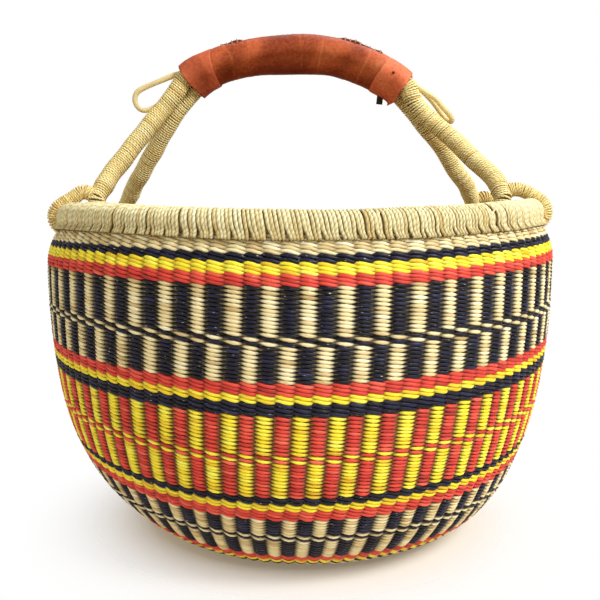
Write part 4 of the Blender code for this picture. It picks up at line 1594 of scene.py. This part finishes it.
@dataclass(frozen=True)
class Sleeve:
    """Leather round both bundles of the handle.

    Its section is a stadium: half circles of radius r round the front and the back bundle,
    joined by straight sides. Each ring stands square to the handle, and the surface is moved
    out by seeded creases. An end may slant, run out into points over the bundles, and flare
    away below; `lines` are distances at which a pale scuff goes round.
    """

    handle: Handle
    name: str
    start: float
    end: float
    inner: float
    thick: float
    finish: Finish
    slot: str
    steps: int = 120
    arc: int = 26
    flat: int = 6
    crease: float = 0.00035
    lean: float = 0.29
    left_slant: float = 0.0
    right_slant: float = 0.0
    right_points: float = 0.0
    right_flare: float = 0.0
    lines: tuple[float, ...] = ()
    line_tone: float = 0.8
    line_width: float = 0.0006
    # Strength of the painted shade: a darker underside, and a darker top that holds back the light
    # falling from above.
    painted_shade: float = 0.5
    seed: int = 1

    def outline(self, distance: Array, offset: Array) -> Array:
        """Rings of points at distances (steps, points), `offset` from the bundles' middles.

        Args:
            distance: distances along the handle, (steps, points).
            offset: how far out the surface is, same shape.
        Returns:
            Points, (steps, points, 3).
        """
        _, _, outward = self.handle.frame(distance)
        front = self.handle.arch(distance, Side.FRONT)
        back = self.handle.arch(distance, Side.BACK)
        axis = unit(front - back)
        up = unit(outward * (-axis @ BACKWARD)[..., None]
                  + BACKWARD * np.sum(axis * outward, -1, keepdims=True))
        half = np.linspace(0.0, np.pi, self.arc)
        between = np.linspace(0.0, 1.0, self.flat + 2)[1:-1]
        share = np.concatenate([0 * half, between, 1 + 0 * half, 1 - between])
        angle = np.concatenate([half, np.pi + 0 * between, np.pi + half, 0 * between])
        middle = front * (1 - share)[:, None] + back * share[:, None]
        dip = np.sin(np.pi * share)[:, None]
        reach = offset[..., None] * (1 - 0.05 * dip)
        return middle + reach * (up * np.cos(angle)[:, None] + axis * np.sin(angle)[:, None])

    @property
    def points(self) -> int:
        """Points in a ring."""
        return 2 * (self.arc + self.flat)

    def build(self) -> None:
        """Make the sleeve as one closed skin: outside, round the end, inside and back.

        With t the share of the length and a the angle round it, the distance along the handle
        is start + (end - start) t + slant cos(a + lean) + points t^2 cos(2a + 2 lean)^5, and
        the surface lies at inner + thick + relief + flare t^7 (-cos a)^10 from the bundles.
        """
        around = ring(self.points)
        t = np.linspace(0.0, 1.0, self.steps)[:, None]
        wander = (self.left_slant * (1 - t) + self.right_slant * t) * np.cos(around + self.lean)
        corners = np.clip(np.cos(2 * (around + self.lean)), 0, 1) ** 5
        wander = wander + self.right_points * t ** 2 * corners
        distance = self.start + (self.end - self.start) * t + wander
        crease, fold = (
            waves(seed, count, 1.0, along * distance, turn * np.cos(around),
                  turn * np.sin(around))
            for seed, count, along, turn in ((self.seed, 9, 700.0, 1.6),
                                             (self.seed + 9, 7, 220.0, 2.0)))
        sharp = np.clip(1.0 - np.abs(crease), 0.0, 1.0)
        relief = self.crease * (0.8 * fold + 0.7 * sharp ** 4)
        edge = ease(0.0, 0.05, t) * ease(0.0, 0.05, 1 - t)
        flare = self.right_flare * t ** 7 * np.clip(-np.cos(around), 0, 1) ** 10
        offset = (self.inner + self.thick * (0.75 + 0.25 * edge) + relief * (0.4 + 0.6 * edge)
                  + flare)
        outside = self.outline(distance, offset)
        centre, _, outward = self.handle.frame(distance)
        height = np.sum((outside - centre) * outward, -1) / (
            offset + self.handle.row(distance)[..., 2])
        # Painted shade: under darkens the side that faces down, and top darkens the upper side to
        # hold back the light that falls on it from above.
        under = self.painted_shade * ease(0.25, 1.0, -height)
        top = self.painted_shade * ease(0.2, 1.0, height)
        inside = self.outline(distance, self.inner + 0 * relief + flare)[::-1]
        rings = np.concatenate([outside, inside])[None]
        # Painted shade: the tone falls steeply towards both ends of the sleeve, for the shadow line
        # where one piece of leather meets the next.
        tone = 0.45 * sharp ** 12 + 0.25 * fold - 1.3 * (1 - edge) ** 6 - 1.5 * under
        tone = tone - 0.8 * top
        for line in self.lines:
            near = (distance - line + 0.0012 * fold) / self.line_width
            tone = tone + self.line_tone * np.exp(-near ** 2)
        # Painted shade: the inside rings are made very dark (tone -2.5, shade 0.15), so the lit end
        # faces between them and the outside look shaded.
        tone = np.concatenate([tone, 0 * relief - 2.5])[None]
        # Painted shade: the shade attribute falls in the hollows of the folds and on the underside.
        shade = np.concatenate([1 - 0.30 * ease(0.2, 1.0, -fold) - 0.3 * under,
                                0 * relief + 0.15])[None]
        along = np.concatenate([distance[:, 0], distance[::-1, 0], distance[:1, 0]])
        skin = Skin()
        skin.add(rings[:, :, ::-1], along, np.arange(self.points + 1) * 0.0015,
                 tone[:, :, ::-1], shade[:, :, ::-1], closed=True)
        show(self.name + "_hide", skin, self.finish, self.slot, self.name)


@dataclass(frozen=True)
class Grip:
    """The leather grip, its collars, its seam's stitches and the loops at its ends."""

    handle: Handle
    leather: float = 0.0018
    collar_leather: float = 0.0011
    collar_length: float = 0.0240
    tuck: float = 0.0002
    grip_ends: tuple[float, float] = (0.0090, 0.0110)
    right_collar_ends: tuple[float, float] = (0.0262, 0.0044)
    scuffs: tuple[float, ...] = (0.1545, 0.2105, 0.2290, 0.2655)
    tail_radius: float = 0.0021
    tail_turn: float = 0.0021
    tail_base: float = 0.97
    tail_swell: float = 0.07
    seam_ends: tuple[float, float] = (0.020, 0.024)
    seam_radius: float = 0.0013
    seam_rise: float = 0.0017
    seam_lean: float = 0.38
    seam_sink: float = 0.0019
    seam_fade: float = 0.0040
    seam_shown: tuple[tuple[float, float], ...] = ((0.1480, 0.1690), (0.2400, 0.2770))
    thread_radius: float = 0.0006
    stitch_reach: float = 0.0022
    stitch_step: int = 7
    tie_end: tuple = ((0.0666, 0.0071, 0.3495), (0.0657, 0.0071, 0.3413))
    tie_half: tuple[float, float] = (0.0025, 0.0009)
    tie_knot: tuple = ((0.0741, -0.0150, 0.3616), (0.0744, -0.0185, 0.3626))
    knot_half: tuple[float, float] = (0.0008, 0.0008)
    left_tail: tuple = (
        (-0.0894, -0.0050, 0.3666), (-0.0963, -0.0052, 0.3641), (-0.1027, -0.0060, 0.3622),
        (-0.1134, -0.0075, 0.3576), (-0.1279, -0.0085, 0.3513), (-0.1332, -0.0090, 0.3470),
        (-0.1345, -0.0090, 0.3414), (-0.1320, -0.0085, 0.3360), (-0.1273, -0.0078, 0.3338),
        (-0.1198, -0.0068, 0.3360), (-0.1141, -0.0062, 0.3400))
    right_tail: tuple = (
        (0.0831, -0.0070, 0.3622), (0.0905, -0.0074, 0.3573), (0.0975, -0.0080, 0.3511),
        (0.1087, -0.0086, 0.3441), (0.1152, -0.0078, 0.3378), (0.1213, -0.0060, 0.3318),
        (0.1248, -0.0025, 0.3279), (0.1244, 0.0020, 0.3266), (0.1210, 0.0048, 0.3292),
        (0.1162, 0.0052, 0.3349), (0.1116, 0.0046, 0.3409), (0.1041, 0.0030, 0.3486),
        (0.0943, 0.0020, 0.3565), (0.0842, 0.0010, 0.3633))

    def build(self) -> None:
        """Make the grip's pieces."""
        h = self.handle
        start, end = h.grip_start, h.grip_start + h.grip_length
        bore = h.leg_radius + h.gap
        over = bore + self.leather - self.tuck
        # The grip gets the full painted shade on its underside and top.
        Sleeve(h, "leather_grip", start + self.grip_ends[0], end - self.grip_ends[1], bore,
               self.leather, Finish.LEATHER, "leather", steps=230, lines=self.scuffs,
               painted_shade=1.0, seed=2).build()
        Sleeve(h, "left_collar", start, start + self.collar_length, over, self.collar_leather,
               Finish.LEFT_COLLAR, "collar_leather", steps=48, right_slant=0.0030,
               left_slant=0.0028, crease=0.00030, seed=5).build()
        Sleeve(h, "right_collar", *(end - gap for gap in self.right_collar_ends), over,
               self.collar_leather, Finish.RIGHT_COLLAR, "collar_leather", steps=48,
               left_slant=0.0022, right_slant=-0.0018, right_points=0.0040,
               right_flare=0.0048, crease=0.00018, seed=8).build()
        self.build_seam(start + self.seam_ends[0], end - self.seam_ends[1])
        self.build_tie()
        self.build_loop("left_tail_loop", self.left_tail)
        self.build_loop("right_tail_loop", self.right_tail)

    def build_seam(self, start: float, end: float) -> None:
        """The seam's raised edge on the front bundle's top, and the lacing over it.

        The edge's middle is arch + lean (r + b), where lean points up and seam_lean radians to
        the front, and b rises by seam_rise on the stretches where the seam stands up. A stitch
        is the arc line + reach u along + (R + t - reach u^2) lean, with u from -1 to 1.

        Args:
            start: distance along the handle at which the edge starts.
            end: distance at which it ends.
        """
        h = self.handle
        distance = np.linspace(start, end, 260)
        _, _, outward = h.frame(distance)
        lean = outward * math.cos(self.seam_lean) - BACKWARD * math.sin(self.seam_lean)
        along = BACKWARD * math.cos(self.seam_lean) + outward * math.sin(self.seam_lean)
        fade = self.seam_fade
        shown = sum(ease(low, low + fade, distance) * (1 - ease(high - fade, high, distance))
                    for low, high in self.seam_shown)
        rise = self.seam_rise * shown * (1 + 0.2 * waves(6, 5, 1.0, distance * 900.0))
        over = h.leg_radius + h.gap + self.leather - self.seam_sink + rise
        line = h.arch(distance, Side.FRONT) + lean * over[:, None]
        edge, lacing = Skin(), Skin()
        # Painted shade: the seam's edge is darkened (tone -2.0, shade 0.35) to draw the dark shadow
        # line along it.
        tube(edge, Path(line, BACKWARD), self.seam_radius, 8, 240, -2.0, 0.35)
        show("grip_seam", edge, Finish.LEATHER, "leather")
        share = np.linspace(-1.0, 1.0, 9)[:, None]
        for k in range(4, len(distance) - 4, self.stitch_step):
            arc = (line[k] + along[k] * self.stitch_reach * share
                   + lean[k] * (self.seam_radius + self.tuck - self.stitch_reach * share ** 2))
            tube(lacing, Path(arc, np.array([1.0, 0.2, 0.1])), self.thread_radius, 6, 9,
                 0.5 * math.sin(3.0 * k), 0.9)
        show("seam_lacing", lacing, Finish.STITCH, "leather")

    def build_tie(self) -> None:
        """A dark tie's square end under the right collar, and its knot on the collar's front.

        Each is a strap M(s) +- w first +- d second, half width w and half depth d, that starts
        inside the leather.
        """
        skin = Skin()
        for line, half in ((self.tie_end, self.tie_half), (self.tie_knot, self.knot_half)):
            path = Path(np.array(line), np.array([1.0, 0.0, 0.2]))
            s = np.linspace(0.0, path.length, 6)
            middle, first, second, _ = path.at(s)
            corners = np.array([(1, 1), (-1, 1), (-1, -1), (1, -1)]) * half
            rings = (middle[:, None] + corners[:, :1] * first[:, None]
                     + corners[:, 1:] * second[:, None])
            skin.add(rings[None], s, np.arange(5) * 0.0015, 0.0, 0.9)
        show("dark_tie", skin, Finish.DARK_TIE, "leather")

    def build_loop(self, name: str, line: tuple) -> None:
        """A loop of straw wrapped in flat turns: a tube of radius r (1 + swell |sin|^0.6), with
        r a little under the tail's radius, which swells once a turn.

        Args:
            name: the solid's name.
            line: points that the loop goes through.
        """
        path = Path(smooth_route(np.array(line), 16), np.array([0.1, 1.0, 0.3]))
        s = np.linspace(0.0, path.length, 220)[:, None]
        turns = np.pi * s / self.tail_turn + ring(12) / 2
        swell = 1 + self.tail_swell * np.abs(np.sin(turns)) ** 0.6
        swell = swell * (1 + 0.04 * waves(4, 4, 1.0, s * 300))
        skin = Skin()
        # Painted shade: the shade falls between the flat turns, where the tube is thinnest.
        tube(skin, path, self.tail_radius * self.tail_base * swell, 12, 220,
             shade=swell * 6 - 5.4, facet=0.0011)
        show(name + "_straw", skin, Finish.TAIL_STRAW, "leg_cord", name)


# The studio ---------------------------------------------------------------------------------


@dataclass(frozen=True)
class Lamp:
    """A square area lamp that faces the basket's middle."""

    name: str
    place: tuple[float, float, float]
    size: float
    power: float
    colour: Colour
    aim: tuple[float, float, float] = (0.0, 0.0, 0.2)

    def build(self) -> None:
        """Hang the lamp and turn it to its aim."""
        data = bpy.data.lights.new(self.name, "AREA")
        data.size, data.energy, data.color = self.size, self.power, self.colour
        lamp = bpy.data.objects.new(self.name, data)
        bpy.context.scene.collection.objects.link(lamp)
        lamp.location = self.place
        toward = Vector(self.aim) - Vector(self.place)
        lamp.rotation_euler = toward.to_track_quat("-Z", "Y").to_euler()


@dataclass(frozen=True)
class Studio:
    """Camera, floor and lights."""

    camera_back: float = 0.64
    camera_height: float = 0.2430
    pitch_down: float = 5.81
    roll: float = 0.11
    lens: float = 45.6
    sensor: float = 36.0
    floor_half: float = 6.0
    floor_fades: tuple[float, float] = (0.125, 0.240)
    floor_fade_power: float = 2.3
    floor_glow: float = 0.16
    world_strength: float = 0.42
    lamps: tuple[Lamp, ...] = (
        Lamp("key", (0.85, -0.75, 1.10), 0.45, 19.0, (0.97, 0.985, 1.0)),
        Lamp("fill", (-1.1, -1.0, 0.7), 1.2, 3.5, (1.0, 0.97, 0.92)),
        Lamp("top", (0.25, 0.20, 1.4), 0.8, 10.0, (0.98, 1.0, 1.0)))

    def build(self) -> None:
        """Make the camera, the floor and the lights."""
        self.build_camera()
        self.build_floor()
        self.build_world()
        for lamp in self.lamps:
            lamp.build()

    def build_camera(self) -> None:
        """The camera at the photograph's place, looking along +Y and a little down."""
        data = bpy.data.cameras.new("camera")
        data.lens, data.sensor_width = self.lens, self.sensor
        camera = bpy.data.objects.new("camera", data)
        bpy.context.scene.collection.objects.link(camera)
        camera.location = (0.0, -self.camera_back, self.camera_height)
        tilt = Euler((math.radians(90.0 - self.pitch_down), 0.0, 0.0)).to_matrix()
        spin = Euler((0.0, 0.0, math.radians(self.roll))).to_matrix()
        camera.rotation_euler = (tilt @ spin).to_euler()
        bpy.context.scene.camera = camera

    def build_floor(self) -> None:
        """A wide pale floor that keeps the shadow, and that the camera sees clear to the white
        backdrop away from the basket: the share seen through is 1 - (1 - t)^fade_power, where t
        goes from 0 to 1 between the fades' distances from the middle."""
        far = self.floor_half
        data = bpy.data.meshes.new("floor")
        data.from_pydata([(-far, -far, 0), (far, -far, 0), (far, far, 0), (-far, far, 0)], [],
                         [(0, 1, 2, 3)])
        floor = bpy.data.objects.new("floor", data)
        bpy.context.scene.collection.objects.link(floor)
        g = Graph("pale_floor")
        g.shader.inputs["Base Color"].default_value = (0.84, 0.76, 0.64, 1.0)
        g.shader.inputs["Roughness"].default_value = 0.9
        g.shader.inputs["Specular IOR Level"].default_value = 0.1
        path = g.node("ShaderNodeLightPath")
        seen = Wire(g, path.outputs["Is Camera Ray"])
        g.shader.inputs["Emission Color"].default_value = (1.0, 0.87, 0.70, 1.0)
        g.feed(g.shader.inputs["Emission Strength"], seen * self.floor_glow)
        away = g.node("ShaderNodeVectorMath", {"operation": "LENGTH"}, {0: g.place()})
        near = Wire(g, away.outputs["Value"]).span(self.floor_fades[1], self.floor_fades[0])
        fade = (1.0 - near ** self.floor_fade_power) * seen
        clear = Wire(g, g.node("ShaderNodeBsdfTransparent").outputs[0])
        solid = Wire(g, g.shader.outputs[0])
        mixed = g.node("ShaderNodeMixShader", {}, {0: fade, 1: solid, 2: clear})
        g.tree.links.new(mixed.outputs[0], g.tree.nodes["Material Output"].inputs["Surface"])
        data.materials.append(g.material)

    def build_world(self) -> None:
        """Soft light all round, seen by the camera as plain white."""
        world = bpy.data.worlds.new("studio")
        bpy.context.scene.world = world
        world.use_nodes = True
        tree = world.node_tree
        back = tree.nodes["Background"]
        path = tree.nodes.new("ShaderNodeLightPath")
        mix = tree.nodes.new("ShaderNodeMapRange")
        mix.inputs["To Min"].default_value = self.world_strength
        mix.inputs["To Max"].default_value = 1.0
        tree.links.new(path.outputs["Is Camera Ray"], mix.inputs["Value"])
        tree.links.new(mix.outputs["Result"], back.inputs["Strength"])
        tint = tree.nodes.new("ShaderNodeMix")
        tint.data_type = "RGBA"
        tint.inputs[6].default_value = (1.0, 0.955, 0.86, 1.0)
        tint.inputs[7].default_value = (1.0, 1.0, 1.0, 1.0)
        tree.links.new(path.outputs["Is Camera Ray"], tint.inputs[0])
        tree.links.new(tint.outputs[2], back.inputs["Color"])


def main() -> None:
    """Build the basket's looks and the studio round it."""
    logging.basicConfig(level=logging.INFO, format="%(message)s")
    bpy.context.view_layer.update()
    bpy.context.scene.view_settings.view_transform = "Standard"
    bowl = Bowl()
    weave = Weave(bowl)
    handle = Handle(bowl)
    for part in (Studio(), Base(weave), Wall(weave), RimRoll(bowl), handle, Grip(handle)):
        part.build()
        log.info("%s done", type(part).__name__)


if __name__ == "__main__":
    main()
